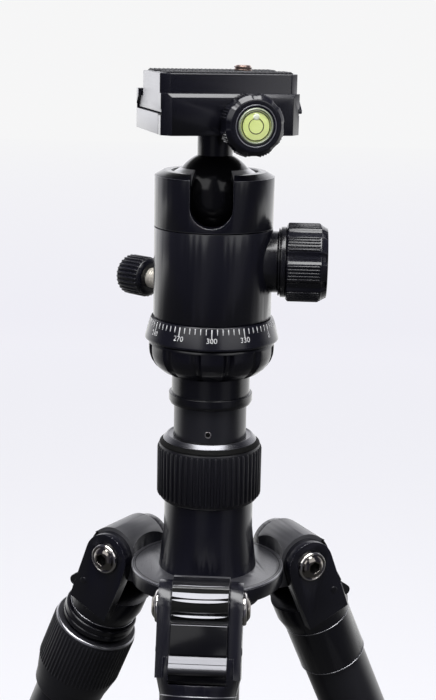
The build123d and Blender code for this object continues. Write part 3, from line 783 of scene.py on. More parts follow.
# ---------------------------------------------------------------- spider
@dataclass
class Spider:
    """The casting that the legs hang from, with its pivot bolts.

    Lengths are in millimetres, angles in degrees.
    """

    edge: float = 0.45
    neck_reach: float = 19.0
    hub_bore: float = 9.2
    hub_radius: float = 10.8
    hub_half_width: float = 9.6
    stations: int = 12
    bow: float = 2.2
    twist: float = 8.0
    # Angles that the painted shade sheet between the steps spans.
    gap: tuple[float, float] = (-25.0, 35.0)
    cover: tuple[float, float] = (34.5, 70.0)
    disc_radius: float = 28.25
    steps: tuple[tuple[float, float, float, float], ...] = (
        (38.6, 1.0, 31.0, 0.5),
        (19.3, 2.1, 27.0, 0.15),
        (9.3, 1.05, 27.0, 0.8),
        (-10.7, 0.5, 40.0, 0.0),
        (-17.2, 1.0, 28.0, 0.8),
    )
    bolt_radius: float = 5.75
    bolt_from: float = 14.6
    shank_from: float = 9.8
    dome: float = 2.7
    socket: float = 2.3
    socket_depth: float = 1.5

    def build(self) -> None:
        """Makes the casting, the stops and the bolts."""
        level = disc_level()
        place = Place(height_axes(level), "spider")
        self.dress_casting(place, level)
        self.dress_stops(place)
        self.dress_bolts(Place(place.axes, "spider", "chrome_bolts"))

    def dress_casting(self, place: Place, level: float) -> None:
        """Copies the casting, rounds its edges and adds a painted highlight ring and a painted shade groove
        round its disc.

        Args:
            place: Where it belongs.
            level: Height of the disc's top, in metres.
        """
        casting = cad_copy("spider", "spider_casting", UP, CAST_BLACK, DISC_TOP_HIGHLIGHT, SATIN_BLACK)
        rim = self.disc_radius
        for face in casting.data.polygons:
            reach = math.hypot(face.center.x, face.center.y) / MM
            # Painted shade: the neck and the disc's rim, which face the dark front, take the darker satin
            # black instead of the cast finish.
            on_neck = reach < self.neck_reach and face.center.z > level
            on_rim = abs(reach - rim) < 0.3 and abs(face.normal.z) < 0.2
            # Painted highlight: the disc's upward faces take the more reflective copy of the cast finish.
            if face.normal.z > 0.99 and abs(face.center.z - level) < 0.2 * MM:
                face.material_index = 1
            elif on_neck or on_rim:
                face.material_index = 2
        bevelled(casting, self.edge)
        place.settle(casting, "spider")
        # Painted highlight: a thin pale metal ring round the disc's rim.
        bright = [(rim - 0.45, -0.02), (rim - 0.3, 0.02), (rim - 0.08, -0.1), (rim + 0.01, -0.35)]
        bright += [(rim - 0.3, -0.4)]
        place.turned("disc_rim_line", bright, EDGE_HIGHLIGHT, round_by=0.03)
        # Painted shade: a near-black ring stands in the groove on the disc's top.
        groove = [(rim - 1.55, -0.1), (rim - 1.55, 0.015), (rim - 1.3, 0.015), (rim - 1.3, -0.1)]
        place.turned("disc_groove", groove, PRINT_AND_SHADE_BLACK, round_by=0.01)

    def step_mesh(self, step: tuple[float, float, float, float], way: int) -> Mesh:
        """Returns one step for the painted highlight: a narrow facet, bowed and turned away towards its ends.

        Args:
            step: Angle round the drum, width, lean of the facet and how much it tapers.
            way: 1 or -1, the drum's upward side.

        Returns:
            A closed mesh in millimetres, across the drum's axis.
        """
        angle, width, lean, taper = step
        rows = []
        for index in range(self.stations + 1):
            across = 2 * index / self.stations - 1
            turn = math.radians(angle + self.bow * across**2)
            tilt = math.radians(lean + self.twist * across**2)
            half = width * (1 - taper * across**4) / 2
            reach = self.hub_radius + 0.03 + half * math.sin(tilt - turn)
            middle = Vector((math.cos(turn), math.sin(turn))) * reach
            along = Vector((-math.sin(tilt), math.cos(tilt))) * half
            inward = Vector((math.cos(tilt), math.sin(tilt))) * -1.2
            corners = (middle + along, middle - along, middle - along + inward, middle + along + inward)
            rows.append([(p.x, way * p.y, across * self.hub_half_width) for p in corners])
        return lofted(rows)

    def dress_stops(self, place: Place) -> None:
        """Adds the stepped stops along each hub's drum in a painted highlight finish, painted shade in the
        gaps between them, and the smooth cover over its top, in a painted shade copy on the front leg.

        Args:
            place: Where they belong.
        """
        # Painted highlight on the steps, painted shade in the gaps between them, and a painted shade copy on
        # the front hub's cover.
        looks = {"hub_stops": STEP_HIGHLIGHT, "hub_stop_gaps": PRINT_AND_SHADE_BLACK, "hub_covers": CAST_BLACK}
        looks["front_hub_cover"] = COVER_SHADE_BLACK
        meshes = {name: [] for name in looks}
        wide = self.hub_half_width + 0.15
        for side in Side:
            pin, axis = joint(f"{side.value}_leg_spread")
            _, down = joint(f"{side.value}_middle_slide")
            outwards = down.cross(axis)
            drum = axes_at(pin, axis, -outwards if outwards.z < 0 else outwards)
            way = 1 if (drum.to_3x3() @ Vector((0, 1, 0))).dot(down) < 0 else -1
            meshes["hub_stops"] += [(self.step_mesh(step, way), drum) for step in self.steps]
            cover = "front_hub_cover" if side is Side.FRONT else "hub_covers"
            for name, span, proud in (("hub_stop_gaps", self.gap, 0.02), (cover, self.cover, 0.01)):
                reach = self.hub_radius + proud
                ring = [(self.hub_bore, -wide), (reach, -wide), (reach, wide), (self.hub_bore, wide)]
                start, end = (way * math.radians(angle) for angle in span)
                meshes[name].append((swept(ring, start, end, 24), drum))
        for name, finish in looks.items():
            place.settle(stand(name, joined(meshes[name])), finish=finish)

    def bolt_mesh(self) -> Mesh:
        """Makes one domed bolt head with a hexagon socket.

        Returns:
            A closed mesh in millimetres, standing on its underside.
        """
        crown = self.dome
        rim = self.bolt_radius
        profile = [(0, 0), (rim, 0), (rim, 0.7), (rim - 0.35, 1.25), (rim - 0.8, 1.35), (rim - 0.95, 1.05)]
        profile += [(rim - 1.2, 1.2), (rim - 1.7, 1.75), (rim - 2.5, 2.3), (self.socket + 0.3, crown - 0.12)]
        profile += [(self.socket, crown - 0.2), (self.socket - 0.05, crown - self.socket_depth)]
        profile += [(0, crown - self.socket_depth - 0.3)]
        mesh = turned(soften(profile, 0.15), 72)
        for vertex in mesh.vertices:
            reach = math.hypot(vertex.co.x, vertex.co.y)
            if 0.5 < reach <= self.socket + 0.1:
                turn = math.atan2(vertex.co.y, vertex.co.x) % (math.pi / 3) - math.pi / 6
                flat = math.cos(math.pi / 6) / math.cos(turn)
                vertex.co.x *= flat
                vertex.co.y *= flat
        return mesh

    def dress_bolts(self, place: Place) -> None:
        """Puts a head on each end of the three hinge pins, with painted shade inside each head's socket.

        Args:
            place: Where they belong.
        """
        start, rim = self.bolt_from, self.bolt_radius
        hinges = [joint(f"{side.value}_leg_spread") for side in Side]
        ends = [(pin, axis * way) for pin, axis in hinges for way in (1, -1)]
        shank = [(0, self.shank_from), (rim, self.shank_from), (rim, start), (0, start)]
        heads = [(self.bolt_mesh(), axes_at(pin + way * start * MM, way, UP)) for pin, way in ends]
        pins = [(turned(shank, 64), axes_at(pin, way, UP)) for pin, way in ends]
        bolts = stand("hinge_bolts", joined(heads + pins))
        for finish in (CHROME, DARK_CHROME, PRINT_AND_SHADE_BLACK):
            bolts.data.materials.append(finish.material())
        for face in bolts.data.polygons:
            pin, way = min(ends, key=lambda end: (end[0] + end[1] * start * MM - face.center).length)
            offset = face.center - pin
            height = offset.dot(way) / MM - start
            reach = (offset - way * offset.dot(way)).length / MM
            # Painted shade: the inside of each hexagon socket takes the near-black finish.
            if reach < self.socket - 0.02 and 0.3 < height < self.dome - 0.35:
                face.material_index = 2
            elif reach < rim - 1.0 and face.normal.dot(way) > 0.1:
                face.material_index = 1
        place.settle(bolts, "leg_pivot_bolts")


# ---------------------------------------------------------------- legs
@dataclass
class Leg:
    """One leg: its yoke and latch, three nested tubes with their twist locks, and a foot."""

    side: Side
    socket_end: float = 49.5
    shoulder_line: float = 29.5
    tube_starts: tuple[float, float, float] = (49.5, 51.0, 52.5)
    tube_radii: tuple[float, float, float] = (12.5, 11.25, 10.1)
    tube_bores: tuple[float, float, float] = (11.3, 10.15, 9.1)
    tube_end: float = 304.0
    lock_length: float = 26.0
    lock_gap: float = 1.0
    lock_radius: float = 15.2
    foot_start: float = 358.0
    foot_radius: float = 10.6
    reach: float = 367.98
    tread: float = 5.0
    lip_start: float = 15.1
    lip_rise: float = 2.3
    lip_tip: float = 22.0
    lip_foot: float = 10.6
    lip_lean: float = 34.0
    lip_round: float = 2.0
    axes: Matrix = field(init=False)
    down: Vector = field(init=False)

    def __post_init__(self) -> None:
        """Finds the leg's own axes: Z down the leg, X outwards."""
        pin, _ = joint(f"{self.side.value}_leg_spread")
        _, self.down = joint(f"{self.side.value}_middle_slide")
        self.axes = axes_at(pin, self.down, Vector((pin.x, pin.y, 0)))

    def name(self, piece: str) -> str:
        """Returns a piece's name with the leg's side before it."""
        return f"{self.side.value}_{piece}"

    def place(self, body: str, slot: str = "black_aluminium") -> Place:
        """Returns where pieces of one of the leg's bodies belong."""
        return Place(self.axes, self.name(body), slot)

    def direction(self, x: float, y: float) -> Vector:
        """Returns a direction across the leg, from outwards and sideways."""
        return (self.axes.to_3x3() @ Vector((x, y, 0))).normalized()

    def build(self) -> None:
        """Makes every piece of the leg."""
        self.dress_yoke()
        self.dress_latch()
        self.dress_tubes()
        self.dress_locks()
        self.dress_foot()
        if self.side is Side.LEFT:
            self.dress_monopod_grip()

    def dress_yoke(self) -> None:
        """Copies the yoke, rounds it with painted highlight edges, and adds the latch pin's ends and the
        painted highlight rings.
        """
        place = self.place("leg")
        yoke = cad_copy(self.name("leg_yoke"), self.name("yoke"), self.down, SATIN_BLACK, EDGE_HIGHLIGHT)
        # Painted highlight: the yoke's rounded edges take the edge finish.
        bevelled(yoke, 0.3, edge=True)
        place.settle(yoke, self.name("leg_yoke"))
        dots = []
        for way in (1, -1):
            cap = turned(soften([(0, 0), (1.3, 0), (1.3, 0.25), (0.9, 0.4), (0, 0.4)], 0.1), 32)
            spot = Matrix.Translation((5.0, way * 14.5, 14.5)) @ Matrix.Rotation(-way * math.pi / 2, 4, "X")
            dots.append((cap, self.axes @ spot))
        place.settle(stand(self.name("latch_pin_ends"), joined(dots)), finish=TURNED_BLACK)
        heights = [self.shoulder_line, self.socket_end - 0.35]
        if self.side is Side.LEFT:
            heights.pop()
        # Painted highlight: thin pale metal rings at the socket's lines.
        section = [(13.2, 0), (13.32, 0.12), (13.32, 0.3), (13.2, 0.42), (12.9, 0.2)]
        for number, low in enumerate(heights, 1):
            line = [(radius, low + rise) for radius, rise in section]
            place.turned(self.name(f"ring_line_{number}"), line, EDGE_HIGHLIGHT, round_by=0.05)

    def lip_outline(self) -> Profile:
        """Draws the smooth outline of the latch's lip.

        Returns:
            Points as (outwards, down the leg), in millimetres.
        """
        start, foot = self.lip_start, self.lip_foot
        slope = math.radians(self.lip_lean)
        fillet = self.lip_rise / math.sin(slope)
        points = [(foot - 1.0, start - 0.1)]
        for index in range(8):
            turn = slope * index / 7
            points.append((foot + fillet * (1 - math.cos(turn)), start + fillet * math.sin(turn)))
        reach, height = points[-1]
        for step, cut in ((0.8, 0.0), (0.75, 0.0), (0.1, 0.16), (0.1, 0.0), (0.6, 0.0), (0.5, 0.0)):
            slope -= math.radians(1.4)
            height += step
            reach += step * math.tan(slope)
            points.append((reach - cut, height))
        radius = self.lip_round
        across, along = reach - radius * math.cos(slope), height + radius * math.sin(slope)
        for index in range(1, 15):
            turn = slope - (slope + math.radians(75)) * index / 14
            points.append((across + radius * math.cos(turn), along - radius * math.sin(turn)))
        points.append((foot - 1.0, points[-1][1] + 0.1))
        return points

    def dress_latch(self) -> None:
        """Copies the latch, rounds it, gives its upward top bevel a painted highlight and adds a smooth lip
        in a painted highlight finish.
        """
        place = self.place("latch")
        latch = cad_copy(self.name("latch"), self.name("latch_lever"), self.down, LATCH_BLACK)
        latch.data.materials.append(STEP_HIGHLIGHT.material(self.direction(0, 1)))
        inverse = self.axes.inverted()
        half = 0.0
        for vertex in latch.data.vertices:
            local = inverse @ vertex.co
            if self.lip_start + 0.9 < local.z < self.lip_tip + 0.2 and local.x > self.lip_foot:
                half = max(half, abs(local.y))
                local.x = self.lip_foot
                vertex.co = self.axes @ local
        latch.data.update()
        bevelled(latch, 0.45)
        outwards = self.direction(1, 0)
        # Painted highlight: the latch's upward top bevel takes the bright step finish.
        for face in latch.data.polygons:
            is_high = (inverse @ face.center).z < self.lip_start - 2
            if is_high and face.normal.dot(outwards) > 0.5 and -0.9 < face.normal.dot(self.down) < -0.3:
                face.material_index = 1
        place.settle(latch, self.name("latch"))
        # Painted highlight: the lip takes a bright metal finish instead of the latch's black.
        lip = lofted([[(x, way * half, z) for x, z in self.lip_outline()] for way in (-1, 1)])
        lip.transform(self.axes)
        place.settle(stand(self.name("latch_lip"), lip), finish=LIP_HIGHLIGHT, grain=self.direction(0, 1))

    def dress_tubes(self) -> None:
        """Makes the three drawn tubes, each inside the one above it."""
        middle_end = self.tube_end + self.lock_length + self.lock_gap
        ends = (self.tube_end, middle_end, self.foot_start)
        sizes = zip(self.tube_starts, ends, self.tube_radii, self.tube_bores)
        names = (("upper", "leg"), ("middle", "middle"), ("lower", "lower"))
        for (label, body), (start, end, radius, bore) in zip(names, sizes):
            tube = [(bore, start), (radius, start), (radius, end), (bore, end)]
            node = self.name(f"leg_tube_{label}")
            self.place(body).turned(self.name(f"{label}_tube"), tube, DRAWN_BLACK, node, round_by=0.2)

    def dress_locks(self) -> None:
        """Makes the two twist locks, each a ribbed rubber sleeve between smooth rings."""
        second = self.tube_end + self.lock_length + self.lock_gap
        for part, start, wide, bore in (
            ("lock_upper", self.tube_end, self.lock_radius, 11.4),
            ("lock_lower", second, self.lock_radius - 1.2, 10.25),
        ):
            end = start + self.lock_length
            half = [(bore, 0), (wide - 1.3, 0), (wide - 0.6, 1.2), (wide - 0.6, 3.0), (wide - 0.15, 3.6)]
            sleeve = [(radius, start + inset) for radius, inset in half]
            sleeve += [(radius, end - inset) for radius, inset in reversed(half)]
            place = self.place(part, "rubber")
            place.turned(self.name(part + "_sleeve"), sleeve, RUBBER, self.name(part))
            sizes = {"Groups": 12, "Per_Group": 4, "Pitch": math.radians(6.0), "Radius": wide - 0.2}
            sizes |= {"Length": self.lock_length - 8.4, "Width": 1.0, "Height": 0.42, "Tip": 0.6}
            place.ribs(self.name(part + "_ribs"), (start + end) / 2, RUBBER, **sizes)

    def dress_foot(self) -> None:
        """Makes the rubber foot, with grooves round it and a coned tread."""
        lean = math.tan(self.down.angle(-UP))
        start, end, wide = self.foot_start, self.reach, self.foot_radius
        foot = [(0, start), (wide - 0.9, start), (wide, start + 0.9)]
        for groove in (2.6, 4.9):
            low = start + groove
            foot += [(wide, low), (wide - 0.5, low + 0.35), (wide - 0.5, low + 0.75), (wide, low + 1.1)]
        foot += [(wide, end), (wide - self.tread, end + self.tread * lean), (0, end + self.tread * lean)]
        place = self.place("lower", "rubber")
        place.turned(self.name("rubber_foot"), foot, RUBBER, self.name("foot"), round_by=0.12)

    def dress_monopod_grip(self) -> None:
        """Makes the ring and the ribbed grip that unscrew this leg."""
        ring = [(13.25, 31.0), (14.2, 31.0), (14.5, 31.4), (14.5, 33.2), (14.2, 33.5), (14.2, 33.8)]
        ring += [(14.5, 34.1), (14.5, 35.7), (14.2, 36.0), (13.25, 36.0)]
        self.place("leg").turned("monopod_smooth_ring", ring, TURNED_BLACK, "monopod_ring", round_by=0.15)
        grip = [(13.3, 37.3), (15.9, 37.3), (16.35, 38.2), (16.45, 40.0), (16.45, 58.0), (16.2, 61.5)]
        grip += [(15.5, 65.0), (14.8, 68.2), (14.5, 71.4), (14.1, 72.0), (13.3, 72.0)]
        rubber = Place(self.axes, "monopod_collar", "rubber")
        rubber.turned("monopod_grip_sleeve", grip, RUBBER, "monopod_grip")
        # Painted highlight: a pale metal ring along the grip's upper edge.
        edge = [(15.9, 37.25), (16.3, 37.6), (16.5, 38.1), (16.4, 38.4), (15.9, 38.0)]
        rubber.turned("monopod_grip_edge", edge, EDGE_HIGHLIGHT, round_by=0.1)
        sizes = {"Groups": 66, "Radius": 16.42, "Length": 20.5, "Width": 0.95, "Height": 0.4, "Tip": 0.8}
        rubber.ribs("monopod_grip_ribs", 49.4, RUBBER, **sizes)


# ---------------------------------------------------------------- column
@dataclass
class Column:
    """The centre column with its locking collar, its platform and the degree ring.

    Heights are above the spider's disc.
    """

    axes: Matrix = field(init=False)
    tube_bore: float = 11.75
    tube_radius: float = 13.15
    tube_foot: float = -150.0
    grip_ribs: int = 54
    screw_height: float = 53.2
    screw_base: float = -13.1
    platform_top: float = 85.8
    tick_ring_top: float = 93.6
    tick_ring_bottom: float = 86.7
    tick_top_radius: float = 21.9
    tick_bottom_radius: float = 23.85
    zero_azimuth: float = -27.0

    def __post_init__(self) -> None:
        """Stands the column's axes on the disc's top."""
        self.axes = height_axes(disc_level())

    def build(self) -> None:
        """Makes every piece of the column."""
        self.dress_collar()
        self.dress_tube()
        self.dress_set_screw()
        self.dress_platform()
        self.dress_degree_ring()

    def dress_collar(self) -> None:
        """Makes the rubber grip, its ribs, a dark ring of painted shade in the gap and the silver bevel above
        it.
        """
        rubber = Place(self.axes, "column_collar", "rubber")
        silver = Place(self.axes, "column_collar", "silver_ring")
        grip = [(16.4, 26.2), (17.2, 26.2), (17.95, 26.9), (18.3, 28.2), (18.45, 30.0), (18.45, 45.2)]
        grip += [(18.3, 46.3), (17.9, 47.0), (16.4, 47.0)]
        rubber.turned("collar_rubber", grip, GRIP_RUBBER, "collar_grip")
        sizes = {"Radius": 18.4, "Length": 18.2, "Width": 1.25, "Height": 0.64, "Tip": 0.7}
        rubber.ribs("collar_ribs", 36.9, GRIP_RUBBER, Groups=self.grip_ribs, **sizes)
        # Painted shade: a near-black ring fills the gap under the silver bevel.
        dark = [(16.2, 47.0), (18.3, 47.0), (18.2, 47.4), (17.0, 48.6), (16.2, 48.6)]
        silver.turned("collar_gap", dark, PRINT_AND_SHADE_BLACK, round_by=0.15)
        bevel = [(13.25, 48.0), (16.9, 48.0), (16.95, 48.7), (15.6, 50.15), (15.1, 50.3)]
        bevel += [(14.9, 49.9), (13.25, 49.9)]
        silver.turned("collar_bevel", bevel, SILVER, "collar_ring", round_by=0.12, segments=128)

    def dress_tube(self) -> None:
        """Makes the column's tube, its stop ring and its plug."""
        place = Place(self.axes, "column")
        bore, radius, foot = self.tube_bore, self.tube_radius, self.tube_foot
        tube = [(bore, foot), (radius, foot), (radius, PLATFORM_FOOT), (bore, PLATFORM_FOOT)]
        place.turned("column_drawn_tube", tube, DRAWN_BLACK, "column_tube", segments=128)
        stop = [(13.16, 62.2), (14.6, 62.2), (15.1, 63.4), (15.1, 65.9), (14.9, 66.1), (14.1, 66.1)]
        stop += [(14.1, PLATFORM_FOOT), (13.16, PLATFORM_FOOT)]
        place.turned("stop_ring", stop, TURNED_BLACK, "column_sleeve", round_by=0.2, segments=128)
        plug = [(0, foot - 4.0), (12.6, foot - 4.0), (radius, foot - 3.4), (radius, foot), (0, foot)]
        Place(self.axes, "column", "black_plastic").turned("column_end_plug", plug, PLASTIC, "column_plug")

    def dress_set_screw(self) -> None:
        """Sets the small screw's rim into the tube's front, with a dark disc of painted shade in its hole,
        wrapped on the tube's curve.
        """
        rim = [(0.85, -0.2), (1.2, -0.2), (1.2, 0.03), (1.05, 0.085), (0.85, 0.075)]
        hole = [(0, -0.3), (0.86, -0.3), (0.86, 0.075), (0, 0.075)]
        for name, profile, slot, finish in (
            ("set_screw_rim", rim, "steel_screws", STEEL),
            # Painted shade: a near-black disc stands in the screw's hole.
            ("set_screw_hole", hole, "black_plastic", PRINT_AND_SHADE_BLACK),
        ):
            mesh = turned(soften(profile, 0.02), 32)
            spot = Matrix.Translation((0, self.screw_base, self.screw_height))
            mesh.transform(spot @ Matrix.Rotation(math.pi / 2, 4, "X"))
            for vertex in mesh.vertices:
                vertex.co.y = -math.sqrt(vertex.co.y**2 - vertex.co.x**2)
            mesh.transform(self.axes)
            Place(self.axes, "column", slot).settle(stand(name, mesh), finish=finish)

    def dress_platform(self) -> None:
        """Makes the scalloped platform that the head stands on."""
        foot, top = PLATFORM_FOOT, self.platform_top
        outline = [(0, foot), (13.0, foot), (15.4, 73.2), (17.8, 74.3), (20.0, 76.2), (21.6, 78.6)]
        outline += [(22.35, 80.8), (22.5, 82.6), (22.5, 84.3), (22.2, 85.3), (21.6, top), (0, top)]
        outline = soften(outline, 0.6)
        profile: Profile = []
        for start, end in zip(outline, outline[1:]):
            count = max(1, round(math.dist(start, end) / 1.2)) if min(start[0], end[0]) > 12 else 1
            run, rise = end[0] - start[0], end[1] - start[1]
            profile += [(start[0] + run * k / count, start[1] + rise * k / count) for k in range(count)]
        profile.append(outline[-1])
        sizes = {"Count": 12, "Depth": 1.7, "Phase": math.radians(-101.0), "Edge_Low": 0.45, "Edge_High": 1.0}
        sizes |= {"Low": 72.0, "High": 84.2, "Inner": 14.0}
        body = turned(profile, 240)
        place = Place(self.axes, "column")
        place.grow(FLUTES, "scalloped_platform", SATIN_BLACK, "top_platform", mesh=body, **sizes)

    def dress_degree_ring(self) -> None:
        """Makes the coned ring that the head pans on, with its degree scale."""
        place = Place(self.axes, "column")
        base, top, bottom = self.platform_top, self.tick_ring_top, self.tick_ring_bottom
        wide, narrow = self.tick_bottom_radius, self.tick_top_radius
        ring = [(0, base), (23.3, base), (wide, base + 0.4), (wide, bottom), (narrow, top)]
        ring += [(21.5, top + 0.3), (0, top + 0.3)]
        place.turned("degree_ring", ring, SATIN_BLACK, "pan_base", round_by=0.05, segments=144)
        lean = math.atan2(wide - narrow, top - bottom)
        for label, count, length, width in (("short", 72, 2.0, 0.32), ("long", 12, 3.1, 0.4)):
            centre = top - 0.2 - length / 2 * math.cos(lean)
            sizes = {"Radius": narrow + (top - centre) * math.tan(lean), "Length": length}
            sizes |= {"Start": math.radians(self.zero_azimuth), "Lean": -lean}
            sizes |= {"Width": width, "Height": 0.06, "Tip": 0.04}
            place.ribs(f"degree_ticks_{label}", centre, PRINT, Groups=count, **sizes)
        self.dress_numbers(place, lean)

    def dress_numbers(self, place: Place, lean: float) -> None:
        """Writes the degrees every thirty under their ticks, wrapped round the cone.

        Args:
            place: Where they belong.
            lean: The cone's lean from upright, in radians.
        """
        whole = bmesh.new()
        base = self.tick_ring_bottom + 2.1
        for degrees in range(0, 360, 30):
            words = bpy.data.curves.new("degrees", "FONT")
            words.body = str(degrees)
            words.size = 2.6
            words.align_x = "CENTER"
            words.resolution_u = 3
            holder = stand("degrees", words)
            flat = evaluated(holder)
            bpy.data.objects.remove(holder)
            middle = math.radians(self.zero_azimuth + degrees)
            for vertex in flat.vertices:
                height = base + vertex.co.y * math.cos(lean)
                radius = self.tick_top_radius + (self.tick_ring_top - height) * math.tan(lean) + 0.05
                angle = middle + vertex.co.x / radius
                vertex.co = (radius * math.cos(angle), radius * math.sin(angle), height)
            whole.from_mesh(flat)
            bpy.data.meshes.remove(flat)
        bmesh.ops.triangulate(whole, faces=whole.faces)
        numbers = meshed(whole, "degree_numbers", outwards=False)
        numbers.transform(place.axes)
        place.settle(stand("degree_numbers", numbers), finish=PRINT)


# ---------------------------------------------------------------- head
@dataclass
class Housing:
    """The ball head's barrel and cap, the ball's seat and the ball."""

    axes: Matrix
    ball_centre: float = 137.8
    ball_radius: float = 14.5
    ball_foot: float = -10.0
    stem_radius: float = 6.2
    notch_azimuth: float = -90.0
    notch_half_width: float = 7.4
    seat_radius: float = 14.0
    seat_relief: tuple[float, float] = (12.45, 145.65)
    relief: float = 38.0

    def build(self) -> None:
        """Makes the housing and the ball."""
        place = Place(self.axes, "head_body")
        for node, edge in (("head_barrel", 0.35), ("head_cap", 0.3)):
            piece = cad_copy(node, node + "_body", UP, SATIN_BLACK, EDGE_HIGHLIGHT)
            # The cap's rounded edges take the edge finish, a painted highlight.
            bevelled(piece, edge, edge=node == "head_cap")
            place.settle(piece, node)
        self.dress_seat()
        self.dress_ball()

    def dress_seat(self) -> None:
        """Makes the pale seat that hugs the ball, open at the drop notch and lower at the back."""
        middle = math.radians(self.notch_azimuth)
        half = math.asin(self.notch_half_width / self.seat_radius)
        outline = [(15.15, 141.0), (15.15, 144.6), (14.35, 145.0), (11.85, 146.55), (11.72, 146.45)]
        outline += [(12.9, 144.5), (13.75, 142.6), (14.1, 141.0)]
        wide, low = self.seat_relief
        relieved = [(max(r, wide), low) if r < self.seat_radius and h > low else (r, h) for r, h in outline]
        back = math.radians(self.relief)
        spans = (
            (outline, middle + half, middle + math.pi - back, 44),
            (relieved, middle + math.pi - back, middle + math.pi + back, 24),
            (outline, middle + math.pi + back, middle + 2 * math.pi - half, 44),
        )
        seat = stand("ball_seat", joined([(swept(*span), self.axes) for span in spans]))
        Place(self.axes, "head_body", "silver_ring").settle(seat, "ball_retainer", finish=SEAT)

    def dress_ball(self) -> None:
        """Makes the polished ball, flat at its foot and under its stem."""
        high = math.sqrt(self.ball_radius**2 - self.stem_radius**2)
        first = math.asin(self.ball_foot / self.ball_radius)
        last = math.asin(high / self.ball_radius)
        centre, radius, steps = self.ball_centre, self.ball_radius, 40
        profile = [(0, centre + self.ball_foot)]
        for index in range(steps + 1):
            angle = first + (last - first) * index / steps
            profile.append((radius * math.cos(angle), centre + radius * math.sin(angle)))
        profile.append((0, centre + high))
        mesh = turned(profile, 128)
        mesh.transform(self.axes)
        Place(self.axes, "ball", "black_ball").settle(stand("polished_ball", mesh), "ball", finish=BALL_BLACK)


@dataclass
class LobedKnob:
    """A hand knob with finger scoops between groups of fine ribs."""

    name: str
    node: str
    place: Place
    radius: float
    length: float
    bevel: float
    front_radius: float
    lobes: int = 8
    per_group: int = 5
    pitch: float = 5.0
    scoop: float = 0.8
    phase: float = 0.0
    bore: float = 0.0
    bore_depth: float = 0.0
    rib_height: float = 0.46

    def build(self) -> None:
        """Makes the knob's body and its ribs."""
        base = self.radius - self.rib_height
        straight = self.length - self.bevel
        end, front = self.length, self.front_radius
        outline = [(0, 0), (base - 0.5, 0), (base, 0.5), (base, straight), (base - 0.35, straight + 0.35)]
        outline += [(front, end - 0.15), (front - 0.4, end)]
        if self.bore:
            outline += [(self.bore, end), (self.bore, end - self.bore_depth), (0, end - self.bore_depth)]
        else:
            outline += [(front - 1.6, end), (front - 2.0, end - 0.3), (0, end - 0.3)]
        flutes = {"Count": self.lobes, "Depth": self.scoop, "Phase": self.phase, "Edge_Low": 0.15}
        flutes |= {"Edge_High": 0.95, "Low": -1.0, "High": end + 1.0, "Inner": front + 0.05}
        body = turned(soften(outline, 0.25), 288)
        self.place.grow(FLUTES, self.name, SATIN_BLACK, self.node, mesh=body, **flutes)
        pitch = math.radians(self.pitch)
        ribs = {"Groups": self.lobes, "Per_Group": self.per_group, "Pitch": pitch, "Radius": base}
        ribs |= {"Start": self.phase + math.pi / self.lobes, "Length": straight - 0.9, "Tip": 0.5}
        ribs |= {"Width": 0.66 * self.radius * pitch, "Height": self.rib_height}
        self.place.ribs(self.name + "_ribs", straight / 2 + 0.05, SATIN_BLACK, **ribs)


@dataclass
class Knobs:
    """The head's two side knobs with their screws."""

    main_radius: float = 14.0
    main_length: float = 14.5
    main_bevel: float = 2.3
    main_front: float = 12.2
    main_phase: float = 164.5
    pan_radius: float = 7.0
    pan_ribs: int = 28

    def build(self) -> None:
        """Makes the main knob, then the panning knob."""
        self.dress_main()
        self.dress_pan()

    def dress_main(self) -> None:
        """Makes the main knob, its friction ring and its screw."""
        point, axis = joint("main_knob_turn")
        axes = axes_at(point, axis, Vector((0, 1, 0)))
        place = Place(axes, "main_knob")
        sizes = (self.main_radius, self.main_length, self.main_bevel, self.main_front)
        phase = math.radians(self.main_phase)
        LobedKnob("main_knob_body", "main_knob", place, *sizes, phase=phase).build()
        ring = [(0, -2.79), (11.9, -2.79), (12.0, -2.6), (12.0, -2.3), (11.5, -2.2), (11.5, -2.0)]
        ring += [(12.4, -1.9), (12.5, -1.7), (12.5, -0.3), (12.2, 0), (0, 0)]
        place.turned("friction_dial", ring, TURNED_BLACK, "friction_ring", round_by=0.12)
        boss = [(8.0, -8.4), (10.9, -8.4), (10.9, -3.1), (10.6, -2.81), (8.0, -2.81)]
        Place(axes, "head_body").turned("main_boss_collar", boss, TURNED_BLACK, round_by=0.2)
        screw = [(0, -12.5), (4.0, -12.5), (4.0, -2.5), (0, -2.5)]
        steel = Place(axes, "main_knob", "steel_screws")
        steel.turned("main_screw", screw, STEEL, "main_knob_screw", round_by=0.2)

    def dress_pan(self) -> None:
        """Makes the panning knob with even ribs, and its bright screw."""
        axes = axes_at(*joint("pan_knob_turn"), UP)
        place = Place(axes, "pan_knob")
        wide = self.pan_radius
        body = [(0, 0), (5.6, 0), (6.4, 0.6), (wide, 1.3), (wide, 11.2), (6.5, 12.1), (5.6, 12.5)]
        body += [(4.6, 12.5), (4.3, 12.2), (0, 12.2)]
        place.turned("pan_knob_body", body, SATIN_BLACK, "pan_knob")
        sizes = {"Radius": wide, "Length": 10.0, "Width": 0.95, "Height": 0.42, "Tip": 0.6}
        place.ribs("pan_knob_ribs", 6.5, SATIN_BLACK, Groups=self.pan_ribs, **sizes)
        end, stem, waist = -17.4, 3.7, 3.2
        screw = [(0, end), (stem, end), (stem, -3.2), (waist, -2.7), (waist, -2.2), (stem, -1.7)]
        screw += [(stem, 0), (0, 0)]
        steel = Place(axes, "pan_knob", "steel_screws")
        steel.turned("pan_screw_stem", screw, PLATED, "pan_screw", round_by=0.15)


